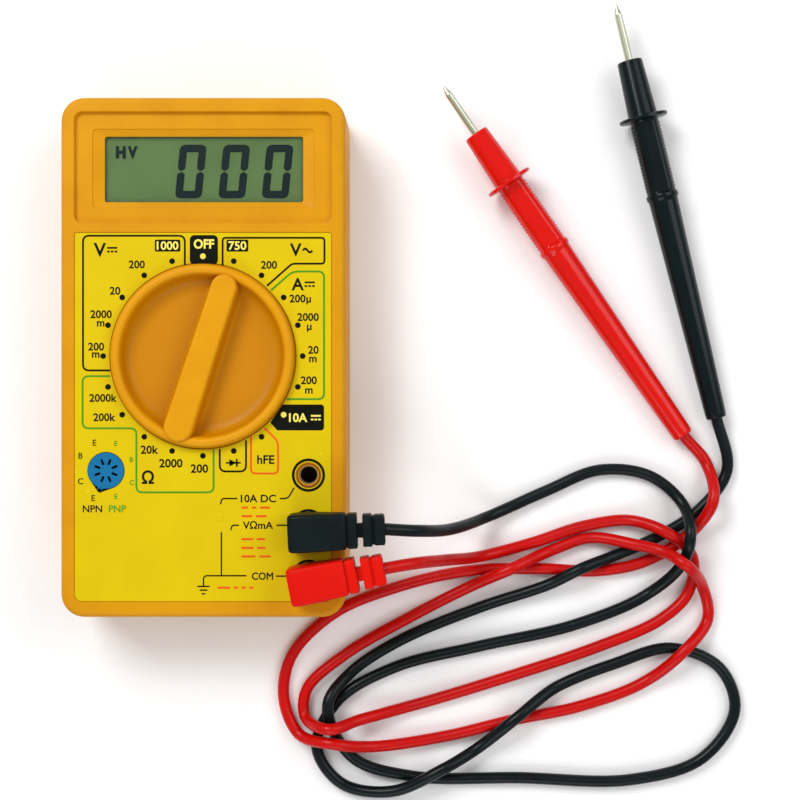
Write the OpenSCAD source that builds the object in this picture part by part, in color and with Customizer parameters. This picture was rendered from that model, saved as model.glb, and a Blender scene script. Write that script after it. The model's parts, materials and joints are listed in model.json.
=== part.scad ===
// Pocket digital multimeter, lying on its back, with two test leads plugged in.
// X is to the right and Y is up on the front face, Z comes out of the face.
// The origin is the middle of the footprint, on the surface that the meter lies on.

/* [Case] */
// Width of the case at the joint between its two halves
case_w = 70; // [70:1:90]
// Length of the case
case_l = 127.4; // [126:0.2:160]
// Height of the front face above the table
case_h = 24.5; // [24.5:0.5:32]
// Radius of the four corners seen from the front
corner_r = 6; // [4:0.5:9]
// Rounding of the edges round the front face and round the back
edge_r = 1.4; // [0.6:0.1:1.7]
// How much the front face is inset from the joint on each side
face_inset = 0.3; // [0.2:0.1:1.2]
// Thickness of the side walls and of the back
wall = 1.8; // [1.4:0.1:2]
// Thickness of the front plate
face_t = 2; // [1.6:0.1:2.2]
// Height of the joint between front and rear halves
parting_z = 11; // [9:0.5:13]

/* [Display] */
// Width of the sunk frame round the display
bezel_w = 62.6; // [60:0.2:63]
// Length of the sunk frame along Y
bezel_l = 27.1; // [25:0.1:28]
// Y of the middle of the sunk frame
bezel_y = 46.25; // [46:0.05:48]
// Depth of the sunk frame
bezel_depth = 1.2; // [0.8:0.1:1.3]
// Width of the inner step
step_w = 54; // [52:0.2:56]
// Length of the inner step along Y
step_l = 19.3; // [18:0.1:21]
// Depth of the inner step below the sunk frame
step_depth = 0.5; // [0.3:0.1:0.5]
// Width of the opening that shows the digits
window_w = 48.2; // [46:0.2:49]
// Length of that opening along Y
window_l = 15.7; // [14:0.1:16]
// Y of the middle of that opening
window_y = 45.85; // [45.5:0.05:46.5]
// Width of the liquid crystal panel
lcd_w = 51; // [50:0.2:52]
// Length of the liquid crystal panel along Y
lcd_l = 25; // [24:0.2:25.4]
// Thickness of the liquid crystal panel
lcd_t = 1.8; // [1.4:0.1:1.8]
// Thickness of the clear window over the panel
lens_t = 0.7; // [0.5:0.1:0.7]

/* [Printed label] */
// Width of the printed label
label_w = 62.6; // [60:0.2:63]
// Y of the label's upper edge
label_top = 30.4; // [30:0.1:31]
// Y of the label's lower edge
label_bottom = -59.5; // [-60:0.1:-58.5]
// Thickness of the label
label_t = 0.4; // [0.2:0.05:0.4]

/* [Selector] */
// Diameter of the knob
knob_d = 45; // [37:0.5:48]
// Y of the knob's axis
knob_y = 0.3; // [0:0.1:0.5]
// Height of the knob's rim above the front face
rim_rise = 2.7; // [2:0.1:4]
// Height of the grip bar above the front face
bar_rise = 3.5; // [2.8:0.1:5]
// Width of the knob's rim
rim_w = 2.5; // [2:0.1:3]
// Width of the grip bar at its middle
bar_w = 7; // [6:0.2:8]
// Thickness of the knob's disc behind the front plate
flange_t = 3; // [2.8:0.1:3.2]
// How far that disc reaches past the knob
flange_lap = 2; // [1.6:0.1:2.4]
// Diameter of the pivot pin
pivot_d = 6; // [5:0.2:7]
// Number of switch positions round the knob
positions = 20; // [20:1:24]
// Diameter of a detent ball
ball_d = 2.2; // [2:0.1:2.2]

/* [Input jacks] */
// Bore of a jack, for a 4 mm plug
jack_bore = 4.06; // [4.04:0.02:5]
// Outer diameter of a jack sleeve
jack_od = 6; // [5.8:0.1:7]
// X of the row of jacks
jack_x = 25.7; // [25:0.1:26]
// Y of the open 10 A jack, the upper one
jack_y = -28.7; // [-29:0.1:-28.5]
// Distance from one jack to the next
jack_pitch = 12.3; // [12:0.1:12.4]
// Length of a plug's pin below the front face
pin_len = 15; // [13:0.5:17]

/* [Transistor socket] */
// Diameter of the round socket
socket_d = 8.8; // [8:0.1:9.6]
// X of the socket's middle
socket_x = -23.6; // [-24:0.1:-23]
// Y of the socket's middle
socket_y = -27.6; // [-28:0.1:-27]
// Number of contact slots
socket_slots = 8; // [6:1:8]

/* [Board] */
// Thickness of the circuit board
board_t = 1.6; // [1:0.1:1.6]
// Gap from the board to the underside of the front plate
board_gap = 6.9; // [6.6:0.1:7.2]
// Y of the board's upper edge
board_top_y = 33.8; // [33.4:0.1:34]

/* [Battery] */
// Length of the battery's case
battery_l = 46.4; // [44:0.2:47]
// Width of the battery
battery_w = 26.5; // [25:0.1:26.5]
// Thickness of the battery
battery_h = 17.5; // [16:0.1:17.5]

/* [Test leads] */
// Diameter of a lead
cord_d = 3; // [2.6:0.1:3]
// Length of a plug's moulding from the jack's axis to the strain relief
plug_reach = 9.4; // [9:0.1:10]
// Width of a plug's moulding
plug_w = 9.4; // [8.4:0.1:9.6]
// Height of a plug's moulding
plug_h = 11.6; // [11:0.1:12]
// Length of a probe's handle from its tail to its nose
probe_l = 94; // [94:0.5:100]
// Diameter of a probe's finger guard
guard_d = 12.4; // [12:0.1:12.4]
// Diameter of a probe's metal tip
tip_d = 2; // [1.6:0.1:2.2]

/* [Hidden] */
// Clearances
fit = 0.06;          // a shaft or pin that turns or slides in its hole
gap = 0.2;           // pieces laid side by side
plug_gap = 0.25;     // under a plug's moulding
cut = 1;             // how far a cutter runs past the face it opens

// Heights that follow from the case
plate_z = case_h - face_t;
pad_z = case_h - bezel_depth - step_depth - 0.8;
label_z = case_h - 0.1 - label_t;
board_z = plate_z - board_gap;
board_under = board_z - board_t;
lcd_z = pad_z - lens_t - lcd_t;
inner_w = case_w - 2 * wall;
inner_l = case_l - 2 * wall;
inner_r = corner_r - wall;
lcd_y = board_top_y - 2.8 + lcd_l / 2;

// Knob
knob_r = knob_d / 2;
flange_r = knob_r + flange_lap;
flange_z = plate_z - 0.1;
knob_base_z = flange_z - flange_t;
well_floor_z = knob_base_z + flange_t - 0.2;
pointer_turn = -360 / positions;
ball_r = ball_d / 2;
ball_z = knob_base_z + flange_t / 2;
detent_r = flange_r + 0.8;
ball_at = detent_r - 0.05 - ball_r;
pocket_end = ball_at - 6;
track_t = 0.1;

// Fixings
screw_r = 1.4;
screw_post_r = 4;
case_screws_at = [[-16, -case_l / 2 + 9], [16, -case_l / 2 + 9]];
board_boss_r = 2.2;
board_screw_r = 0.9;
board_x = inner_w / 2 - 1.7;
board_low_y = -inner_l / 2 + 2.2;
board_boss_x = board_x - 2.9;
board_screws_at = [[-board_boss_x, 26.5], [board_boss_x, 26.5], [-board_boss_x, -14],
    [board_boss_x, -14], [-board_boss_x, board_low_y + 9]];

// Jacks and leads
jack_r = jack_bore / 2;
jack_mouth_r = jack_r + 0.32;
jack_top_z = case_h - 2.1;
jack_low_z = board_under - 1.6;
jacks_at = [jack_y, jack_y - jack_pitch, jack_y - 2 * jack_pitch];
plug_z = case_h + plug_gap;
plug_axis_z = plug_z + 6.25;
black_plug_turn = 2.5;
red_plug_turn = 11;
plug_shift = -1.1;       // of a plug's moulding, sideways from its pin
cord_r = cord_d / 2;
battery_low_y = board_top_y + 0.15;
battery_x = -24.8;
battery_mid_y = battery_low_y + battery_w / 2;
battery_mid_z = wall + battery_h / 2;
terminal_y = 6.35;
trimmer_at = [-6, -40];
fuse_at = [-board_x + 5.5, -37];
fuse_l = 20;
shunt_x = jack_x - 5.7;

// Probes: the middle of the tail, the turn about Z, and the tilt that the guard gives
tail_r = 2.65;
guard_at = 79;
tail_z = tail_r + 0.1;
probe_tilt = asin((guard_d / 2 + 0.1 - tail_z) / guard_at);
black_tail = [129.5, -15, tail_z];
red_tail = [121, -19.5, tail_z];
black_turn = 104.2;
red_turn = 124.9;

// A longer or wider case pushes the loops that lie below it further down
lead_drop = max(0, case_l / 2 - 63.7, case_w / 2 - 35);
function lowered(route) = [for (p = route)
    [p[0], p[1] - lead_drop * min(1, max(0, (-50 - p[1]) / 12)), p[2]]];

// The leads lie as loose cords: each point is on the cord's middle line
black_route = [[45, -41.3, plug_axis_z], [52.5, -42, plug_axis_z - 3.5], [61, -42.5, 16], [71.5, -40, 3.5],
    [85.5, -34, 1.5], [99.5, -28.5, 1.5], [112.5, -30, 1.5], [120.5, -37, 4],
    [121.5, -44.5, 10], [120, -52, 7], [112, -60.5, 1.5], [93, -68.5, 1.5],
    [68.5, -74, 1.5], [46.5, -79.5, 1.5], [32, -88, 1.5], [26.5, -100, 1.5],
    [33, -109.5, 1.5], [46, -111, 3.5], [58.5, -105, 6], [68, -100, 3],
    [77.5, -92, 5.5], [88.5, -84.5, 1.5], [103.5, -78.5, 1.5], [118, -74.5, 1.5],
    [130.5, -79.5, 1.5], [134.5, -90.5, 1.5], [126, -103, 1.5], [107.5, -108.5, 1.5],
    [79, -108, 1.5], [50.5, -107.5, 1.5], [35.5, -102.5, 1.5], [29.5, -88.5, 5.5],
    [35, -81, 2], [48, -72.5, 1.5], [68.5, -64, 1.5], [86, -58, 3],
    [94.5, -53.5, 5.5], [103.5, -50.5, 2], [114, -46, 1.5], [125, -39, 1.5],
    [132.5, -28.5, 1.5], black_tail];
red_route = [[44.8, -50.6, plug_axis_z], [51.6, -49.8, plug_axis_z - 3], [59.5, -50.2, 16.5], [69, -50.5, 4],
    [81.5, -47.5, 1.5], [95.5, -43, 1.5], [107.5, -41.5, 2], [116.5, -44.5, 6.5],
    [123, -50.5, 4], [122.5, -60, 1.5], [115.5, -67, 1.5], [99.5, -74, 1.5],
    [74, -82.5, 1.5], [50.5, -89.5, 1.5], [37.5, -92.5, 4.5], [30, -94, 9],
    [23.5, -92, 2], [24, -85, 1.5], [34, -76, 1.5], [50.5, -66.5, 1.5],
    [66, -58.5, 2.5], [76.5, -53.5, 6], [86.5, -49.5, 1.5], [97, -46, 1.5],
    [108.5, -47.5, 5], [115, -49, 7], [120, -52, 12], [125.5, -58, 4.5],
    [127.5, -67, 1.5], [121, -74.5, 5], [111.5, -83, 1.5], [94.5, -89.5, 1.5],
    [77.5, -93, 1.5], [58.5, -97.5, 1.5], [41, -99.5, 3.5], [31, -98, 7.5],
    [22, -96.5, 2.5], [18, -87.5, 1.5], [20, -76.5, 1.5], [31, -65.5, 1.5],
    [48, -58.5, 1.5], [66, -54.5, 1.5], [84, -54, 1.5], [99.5, -54.5, 1.5],
    [111.5, -52, 1.5], [122.5, -45, 2.5], [128, -36, 6.5], [127, -26.5, 1.5], red_tail];

// Colours
amber = [0.94, 0.66, 0.07];
label_yellow = [0.91, 0.8, 0.1];
lead_black = [0.07, 0.09, 0.1];
lead_red = [0.88, 0.1, 0.05];
metal = [0.75, 0.76, 0.78];
brass = [0.78, 0.62, 0.3];

$fn = 48;

// ---- shared shapes ----

// A rectangle with true round corners, centred on the origin.
module round_rect(w, l, r) {
    square([w - 2 * r, l], center = true);
    square([w, l - 2 * r], center = true);
    for (x = [-1, 1], y = [-1, 1]) translate([x * (w / 2 - r), y * (l / 2 - r)]) circle(r);
}

// A slab with round corners, centred in X and Y, from z up by h.
module slab(w, l, r, z, h) {
    translate([0, 0, z]) linear_extrude(h) round_rect(w, l, r);
}

// A case half: open side at z0 with full size, outer face at z1 inset and rounded.
module case_block(w, l, r, e, inset, z0, z1) {
    low = z0 < z1 ? z0 : z0 - 0.6;
    hull() for (x = [-1, 1], y = [-1, 1]) {
        translate([x * (w / 2 - r), y * (l / 2 - r), low]) cylinder(r = r, h = 0.6, $fn = 32);
        translate([x * (w / 2 - r - inset), y * (l / 2 - r - inset), z1 > z0 ? z1 - e : z1 + e])
            rotate_extrude($fn = 32) translate([r - e, 0]) circle(e, $fn = 16);
    }
}

function unit(v) = v / norm(v);
function heading(p, i) = unit(p[min(i + 1, len(p) - 1)] - p[max(i - 1, 0)]);
function ring(c, t, r, sides, ref) = let (a = unit(cross(ref, t)), b = cross(t, a))
    [for (k = [0:sides - 1]) c + r * (cos(360 * k / sides) * a + sin(360 * k / sides) * b)];

// A round tube swept along a list of points; ref is a direction the tube never takes.
module tube(path, r, sides, ref) {
    n = len(path);
    rings = [for (i = [0:n - 1]) each ring(path[i], heading(path, i), r, sides, ref)];
    walls = [for (i = [0:n - 2], k = [0:sides - 1]) let (m = (k + 1) % sides)
        [i * sides + k, (i + 1) * sides + k, (i + 1) * sides + m, i * sides + m]];
    ends = [[for (k = [0:sides - 1]) k], [for (k = [sides - 1:-1:0]) (n - 1) * sides + k]];
    polyhedron(points = rings, faces = concat(walls, ends), convexity = 8);
}

// ---- case ----

module socket_outline(grow) {
    circle(socket_d / 2 + grow);
    rotate(-108) hull() {
        circle(socket_d / 4 + grow);
        translate([socket_d / 2 + 0.6, 0]) circle(0.45 + grow, $fn = 24);
    }
}

module front_case() {
    color(amber) {
        difference() {
            case_block(case_w, case_l, corner_r, edge_r, face_inset, parting_z, case_h);
            hull() {
                slab(inner_w, inner_l, inner_r, parting_z - cut, cut);
                slab(inner_w - 2 * face_inset, inner_l - 2 * face_inset, inner_r, plate_z - 1, 1);
            }
            translate([0, bezel_y, 0]) slab(bezel_w, bezel_l, 1.8, case_h - bezel_depth, 5);
            translate([0, window_y, 0])
                slab(step_w, step_l, 1, case_h - bezel_depth - step_depth, 5);
            translate([0, window_y, 0]) slab(window_w, window_l, 0.6, plate_z - cut, 9);
            difference() {
                translate([0, (label_top + label_bottom) / 2, 0])
                    slab(label_w, label_top - label_bottom, 1.7, label_z, 5);
                for (y = jacks_at) translate([jack_x, y, 0]) cylinder(r = 3.05, h = label_z + label_t);
            }
            translate([0, knob_y, plate_z - cut]) cylinder(r = knob_r + fit, h = 9, $fn = 96);
            for (y = jacks_at) translate([jack_x, y, plate_z - cut]) cylinder(r = jack_mouth_r, h = 9);
            translate([socket_x, socket_y, plate_z - cut]) linear_extrude(9) socket_outline(0.15);
        }
        difference() {
            translate([0, bezel_y, 0]) slab(bezel_w, bezel_l + 1.6, 1.8, pad_z, plate_z - pad_z);
            translate([0, window_y, 0]) slab(window_w, window_l, 0.6, pad_z - cut, 9);
        }
        difference() {
            translate([0, knob_y, ball_z - ball_r - 0.3])
                cylinder(r = detent_r + 2, h = plate_z - ball_z + ball_r + 0.3, $fn = 96);
            translate([0, knob_y, ball_z - 9]) cylinder(r = detent_r, h = 18, $fn = 96);
            for (i = [0:positions - 1]) translate([0, knob_y, ball_z - 9])
                rotate(i * 360 / positions) translate([detent_r, 0, 0]) cylinder(r = 0.8, h = 18);
        }
        for (p = board_screws_at) translate([p[0], p[1], board_z]) difference() {
            cylinder(r = board_boss_r, h = plate_z - board_z);
            translate([0, 0, -cut]) cylinder(r = board_screw_r, h = cut + 5);
        }
        for (p = case_screws_at) translate([p[0], p[1], parting_z + 1]) difference() {
            cylinder(r = screw_post_r - 0.6, h = plate_z - parting_z - 1);
            translate([0, 0, -cut]) cylinder(r = screw_r, h = cut + 8);
        }
    }
}

module rear_cover() {
    color(amber) {
        difference() {
            union() {
                case_block(case_w, case_l, corner_r, edge_r, 0, parting_z, 0);
                slab(inner_w - 2 * gap, inner_l - 2 * gap, inner_r - gap, parting_z - 1, 2.2);
            }
            slab(inner_w, inner_l, inner_r, wall, parting_z - 3 - wall);
            slab(inner_w - 2.4, inner_l - 2.4, inner_r - 1.2, wall + 1, parting_z + 3);
            translate([battery_x - 1, battery_low_y, parting_z - 4]) cube([battery_l + 8, battery_w + gap, 9]);
            for (p = case_screws_at) translate([p[0], p[1], -cut]) cylinder(r = 3.1, h = 6 + cut);
        }
        for (p = case_screws_at) translate([p[0], p[1], 0]) difference() {
            translate([0, 0, wall / 2]) cylinder(r = screw_post_r, h = parting_z + 0.9 - wall / 2);
            translate([0, 0, -cut]) cylinder(r = 3.1, h = 6 + cut);
            cylinder(r = screw_r + 0.2, h = 20);
        }
        for (x = [battery_x - 1.6, battery_x + battery_l + gap + 5.6])
            translate([x, battery_low_y + 3, wall / 2]) cube([1.4, battery_w - 8, 8]);
        for (x = [-18, 14]) translate([x, battery_low_y - 1.6, wall / 2]) cube([1.4, 1.4, 9]);
    }
}

module case_screws() {
    color(metal) for (p = case_screws_at) translate([p[0], p[1], 0]) difference() {
        union() {
            translate([0, 0, 3.6]) cylinder(r = 2.8, h = 2.4);
            translate([0, 0, 5]) cylinder(r = screw_r, h = parting_z + 3.5);
        }
        for (a = [0, 90]) rotate(a) translate([-1.8, -0.3, 2.6]) cube([3.6, 0.6, 2.2]);
    }
}

module front_label() {
    color(label_yellow) difference() {
        translate([0, (label_top + label_bottom) / 2, 0])
            slab(label_w - gap, label_top - label_bottom - gap, 1.6, label_z, label_t);
        translate([0, knob_y, 0]) cylinder(r = knob_r + 0.3, h = 99, $fn = 96);
        for (y = jacks_at) translate([jack_x, y, 0]) cylinder(r = 3.15, h = 99);
        translate([socket_x, socket_y, 0]) linear_extrude(99) socket_outline(0.7);
    }
}

// ---- display ----

module display_window() {
    color([0.85, 0.92, 0.88, 0.4]) translate([0, window_y, 0])
        slab(window_w + 2.6, window_l + 2.4, 0.8, pad_z - lens_t, lens_t);
}

module lcd_panel() {
    color([0.44, 0.53, 0.36]) translate([-lcd_w / 2, lcd_y - lcd_l / 2, lcd_z]) {
        cube([lcd_w, lcd_l, lcd_t / 2]);
        translate([0, 2, lcd_t / 2]) cube([lcd_w, lcd_l - 2, lcd_t / 2]);
    }
}

module lcd_frame() {
    color([0.9, 0.9, 0.88]) translate([0, lcd_y, 0]) difference() {
        slab(lcd_w + 4.4, lcd_l + 2.8, 1, lcd_z - 0.1, pad_z - lcd_z + 0.1);
        slab(lcd_w + 2 * gap, lcd_l + 2 * gap, 0.3, lcd_z - cut, 9);
    }
}

module zebra_strip() {
    color([0.85, 0.5, 0.6])
        translate([-24, lcd_y - lcd_l / 2 + 0.3, board_z]) cube([48, 2, lcd_z - board_z]);
}

// ---- board ----

module circuit_board() {
    color([0.1, 0.36, 0.2]) difference() {
        translate([-board_x, board_low_y, board_under])
            cube([2 * board_x, board_top_y - board_low_y, board_t]);
        translate([0, knob_y, 0]) cylinder(r = pivot_d / 2 + fit, h = 99);
        for (y = jacks_at) translate([jack_x, y, 0]) cylinder(r = jack_od / 2 + fit, h = 99);
        for (p = board_screws_at) translate([p[0], p[1], 0]) cylinder(r = board_screw_r + 0.15, h = 99);
        for (p = case_screws_at) translate([p[0], p[1], 0]) cylinder(r = screw_post_r, h = 99);
        translate([socket_x, socket_y, 0]) for (i = [0:socket_slots - 1])
            rotate((i + 0.5) * 360 / socket_slots) translate([2.2, 0, 0]) cylinder(r = 0.5, h = 99);
    }
}

module switch_tracks() {
    color([0.85, 0.7, 0.35]) translate([0, knob_y, board_z]) {
        for (r = [6, 9, 12]) difference() {
            cylinder(r = r + 1.6, h = track_t);
            translate([0, 0, -cut]) cylinder(r = r, h = 9);
        }
        for (i = [0:positions - 1]) rotate(i * 360 / positions)
            translate([15, -1.6, 0]) cube([5.5, 3.2, track_t]);
    }
}

module board_screws() {
    color(metal) for (p = board_screws_at) translate([p[0], p[1], board_under]) difference() {
        union() {
            translate([0, 0, -1.2]) cylinder(r = 1.9, h = 1.2);
            cylinder(r = board_screw_r, h = board_t + 4);
        }
        for (a = [0, 90]) rotate(a) translate([-1.2, -0.25, -2]) cube([2.4, 0.5, 1.4]);
    }
}

module converter_chip() {
    color([0.06, 0.06, 0.06]) translate([-12, 22, board_under]) rotate([180, 0, 0])
        rotate_extrude() polygon([[0, 0], [7.5, 0], [7, 0.7], [5.5, 1.2], [3, 1.55], [0, 1.6]]);
}

// ---- selector ----

module knob_turned() {
    translate([0, knob_y, 0]) rotate(pointer_turn) children();
}

module selector_knob() {
    top = case_h + rim_rise;
    color(amber) knob_turned() difference() {
        union() {
            translate([0, 0, knob_base_z]) cylinder(r = flange_r, h = flange_t, $fn = 96);
            rotate_extrude($fn = 96) polygon([[knob_r - rim_w - 0.6, flange_z - 0.5],
                [knob_r, flange_z - 0.5], [knob_r, case_h + 0.3], [knob_r - 0.3, top - 0.9],
                [knob_r - 0.9, top - 0.2], [knob_r - 1.4, top], [knob_r - rim_w + 0.3, top],
                [knob_r - rim_w, top - 0.3]]);
            hull() {
                for (s = [-1, 1]) translate([0, s * (knob_r - 1.2 - bar_w / 2), 0]) {
                    translate([0, 0, flange_z - 0.5])
                        cylinder(r = bar_w / 2 + 0.1 + s * 0.3, h = 5, $fn = 32);
                    translate([0, 0, case_h])
                        cylinder(r = bar_w / 2 - 0.9 + s * 0.3, h = bar_rise, $fn = 32);
                }
            }
            translate([0, 0, board_under - 0.6])
                cylinder(r = pivot_d / 2, h = knob_base_z - board_under + 1);
        }
        for (s = [-1, 1]) translate([s * (pocket_end - 0.1), 0, ball_z]) rotate([0, s * 90, 0])
            cylinder(r = ball_r + fit, h = 20);
    }
}

module contact_springs() {
    tip = board_z + track_t + 0.08;
    color(brass) knob_turned() for (k = [0:5]) rotate(60 * k + 30)
        translate([6.8 + 3 * (k % 3), -0.5, 0]) rotate([90, 0, 90]) linear_extrude(1)
            polygon([[-3, knob_base_z], [-3, knob_base_z - 0.3], [-1.2, knob_base_z - 0.5],
                [0, tip], [1.2, knob_base_z - 0.5], [3, knob_base_z - 0.3], [3, knob_base_z],
                [1, knob_base_z - 0.2], [0, tip + 0.5], [-1, knob_base_z - 0.2]]);
}

module detent_ball(side) {
    color(metal) knob_turned() translate([side * ball_at, 0, ball_z]) sphere(ball_r);
}

module detent_spring(side) {
    turns = 5;
    steps = 8;
    l = ball_at - ball_r - pocket_end - 0.1;
    color(metal) knob_turned() tube([for (i = [0:turns * steps]) let (a = 360 * i / steps)
        [side * (pocket_end + 0.25 + (l - 0.5) * i / (turns * steps)), 0.75 * cos(a),
            ball_z + 0.75 * sin(a)]], 0.15, 6, [1, 0, 0]);
}

module detent_ball_left() { detent_ball(-1); }
module detent_ball_right() { detent_ball(1); }
module detent_spring_left() { detent_spring(-1); }
module detent_spring_right() { detent_spring(1); }

// ---- jacks, shunt, fuse ----

module jack(y) {
    color(brass) translate([jack_x, y, 0]) difference() {
        translate([0, 0, jack_low_z]) cylinder(r = jack_od / 2, h = jack_top_z - jack_low_z);
        translate([0, 0, jack_low_z - cut]) cylinder(r = jack_r, h = 99);
    }
}

module jack_10a() { jack(jacks_at[0]); }
module jack_volt() { jack(jacks_at[1]); }
module jack_com() { jack(jacks_at[2]); }

module shunt_wire() {
    top = jacks_at[0] - 2;
    low = jacks_at[2] + 2;
    z = board_under;
    color([0.72, 0.5, 0.36]) tube([[shunt_x, top, z], [shunt_x, top, z - 4.5],
        [shunt_x, top - 1, z - 6], [shunt_x, top - 3, z - 6.5], [shunt_x, low + 3, z - 6.5],
        [shunt_x, low + 1, z - 6], [shunt_x, low, z - 4.5], [shunt_x, low, z]], 0.8, 8, [1, 0, 0]);
}

module fuse_place() {
    translate([fuse_at[0], fuse_at[1], board_under - 5]) rotate([-90, 0, 0]) children();
}

module fuse_glass() {
    color([0.8, 0.9, 0.92, 0.5]) fuse_place() difference() {
        translate([0, 0, 5]) cylinder(r = 2.4, h = fuse_l - 10);
        translate([0, 0, 5 - cut]) cylinder(r = 1.7, h = fuse_l);
    }
}

module fuse_caps() {
    color(metal) fuse_place() for (z = [0, fuse_l - 5]) translate([0, 0, z])
        cylinder(r = 2.5, h = 5);
}

module fuse_clips() {
    color(metal) for (y = [0.8, fuse_l - 4.2])
        translate([fuse_at[0], fuse_at[1] + y, board_under - 5]) difference() {
            translate([-3.1, 0, -1]) cube([6.2, 3.4, 6]);
            translate([0, -cut, 0]) rotate([-90, 0, 0]) cylinder(r = 2.55, h = 9);
            translate([-2, -cut, -3]) cube([4, 9, 3]);
        }
}

// ---- transistor socket, trimmer, small parts ----

module transistor_socket() {
    color([0.13, 0.45, 0.72]) translate([socket_x, socket_y, 0]) difference() {
        translate([0, 0, board_z]) linear_extrude(case_h + 0.1 - board_z) socket_outline(0);
        for (i = [0:socket_slots - 1]) rotate((i + 0.5) * 360 / socket_slots)
            translate([1.5, -0.3, case_h - 5]) cube([1.5, 0.6, 9]);
    }
}

module socket_contacts() {
    color(brass) translate([socket_x, socket_y, 0]) for (i = [0:socket_slots - 1])
        rotate((i + 0.5) * 360 / socket_slots)
            translate([2.2, 0, board_under - 1.6]) cylinder(r = 0.3, h = board_t + 1.6);
}

module trimmer_body() {
    color([0.16, 0.3, 0.6]) translate([trimmer_at[0], trimmer_at[1], board_under - 3.2]) difference() {
        translate([-3.3, -3.3, 0]) cube([6.6, 6.6, 3.2]);
        translate([0, 0, -cut]) cylinder(r = 1.9 + fit, h = cut + 1.6);
    }
}

module trimmer_rotor() {
    color([0.9, 0.9, 0.85]) translate([trimmer_at[0], trimmer_at[1], board_under - 3.5]) difference() {
        cylinder(r = 1.9, h = 1.8);
        for (a = [0, 90]) rotate(a) translate([-1.2, -0.25, -cut]) cube([2.4, 0.5, cut + 0.9]);
    }
}

module resistors() {
    color([0.35, 0.6, 0.75]) for (i = [0:9])
        translate([i < 5 ? -14 : 4, (i % 5) * 4.2 - 30, board_under - 1.6]) {
            rotate([0, 90, 0]) cylinder(r = 0.95, h = 5.6);
            for (x = [-0.9, 6.5]) translate([x, 0, -0.3]) cylinder(r = 0.28, h = 1.9);
            translate([-0.9, 0, 0]) rotate([0, 90, 0]) cylinder(r = 0.28, h = 7.4);
        }
}

module film_capacitors() {
    color([0.72, 0.16, 0.12]) for (i = [0:4])
        translate([-24 + i * 8.5, 9 + 3 * (i % 2), board_under - 6]) slab(7, 2.6, 0.8, 0, 6);
}

module electrolytic_capacitor() {
    color([0.1, 0.12, 0.2]) translate([16, 16, board_under - 7]) cylinder(r = 2.5, h = 7);
}

// ---- battery ----

module battery() {
    color([0.16, 0.16, 0.18]) translate([battery_x, battery_mid_y, battery_mid_z])
        rotate([0, 90, 0]) slab(battery_h, battery_w, 2, 0, battery_l);
}

module battery_terminals() {
    color(metal) for (s = [-1, 1])
        translate([battery_x + battery_l, battery_mid_y + s * terminal_y, battery_mid_z])
            rotate([0, 90, 0]) cylinder(r = s > 0 ? 2.9 : 4, h = 2.2);
}

module battery_clip() {
    x = battery_x + battery_l + gap;
    color([0.08, 0.08, 0.08]) translate([x, battery_mid_y, battery_mid_z]) difference() {
        rotate([0, 90, 0]) slab(12.5, 25.4, 2, 0, 5);
        for (s = [-1, 1]) translate([-cut, s * terminal_y, 0]) rotate([0, 90, 0])
            cylinder(r = s > 0 ? 2.9 + gap : 4 + gap, h = 2.4 + cut);
    }
}

module battery_wire(y, x2) {
    x = battery_x + battery_l + gap + 5;
    tube([[x, battery_mid_y + y, battery_mid_z], [x + 1.4, battery_mid_y + y, battery_mid_z],
        [x2, battery_mid_y + y - 1.8, battery_mid_z], [x2, battery_low_y + 3, battery_mid_z],
        [x2, battery_low_y - 3, battery_mid_z + 0.3], [x2, battery_low_y - 4.6, battery_mid_z + 1.4],
        [x2, battery_low_y - 4.6, board_under - 0.8], [x2, battery_low_y - 4.6, board_under]], 0.6, 8, [1, 1, -1]);
}

module battery_wire_red() { color(lead_red) battery_wire(-2.5, board_x - 2.6); }
module battery_wire_black() { color(lead_black) battery_wire(2.5, board_x - 0.6); }

// ---- test leads ----

module plug_place(i, turn) {
    translate([jack_x, jacks_at[i], 0]) rotate(turn) children();
}

// One block of the strain relief: x from the jack's axis, then length, width and height.
module relief_block(x, l, w, h) {
    translate([x, 0, plug_axis_z]) rotate([90, 0, 90]) slab(w, h, min(w, h) / 4, 0, l);
}

module plug_body() {
    difference() {
        translate([0, plug_shift, 0]) {
            hull() {
                translate([0, 0, plug_z]) cylinder(r = plug_w / 2 - 0.6, h = plug_h - 0.4, $fn = 32);
                translate([-plug_w / 2 + 0.2, -plug_w / 2 + 0.2, plug_z + 1])
                    cube([2, plug_w - 0.4, plug_h - 2.2]);
                translate([plug_reach - 2, -plug_w / 2 + 0.3, plug_z + 2])
                    cube([2, plug_w - 0.6, plug_h - 3.2]);
            }
            relief_block(plug_reach - 0.5, 3.1, 8.2, 8);
            relief_block(plug_reach + 2, 2, 3.4, 4.6);
            relief_block(plug_reach + 4, 2.5, 7.6, 7.2);
            relief_block(plug_reach + 6, 1.2, 7, 6);
            relief_block(plug_reach + 6.8, 2.5, 7.1, 7);
        }
        translate([0, 0, plug_z - cut]) cylinder(r = 1.5, h = 8 + cut);
    }
}

module plug_pin() {
    low = case_h - pin_len;
    rotate_extrude() polygon([[0, low], [0.8, low], [1.5, low + 1.2], [1.5, low + 1.8],
        [1.2, low + 2], [1.2, case_h - 2.2], [1.5, case_h - 2], [1.5, plug_z + 8],
        [0, plug_z + 8]]);
}

module plug_spring() {
    low = case_h - pin_len + 2.2;
    top = case_h - 2.4;
    mid = (low + top) / 2;
    r = jack_r - fit / 2;
    difference() {
        rotate_extrude() polygon([[1.25, low], [1.5, low], [r, mid - 2], [r, mid + 2],
            [1.5, top], [1.25, top], [r - 0.3, mid + 2], [r - 0.3, mid - 2]]);
        for (a = [0:45:135]) rotate(a) translate([-3, -0.12, low + 1.2]) cube([6, 0.24, top - low - 2.4]);
    }
}

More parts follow.
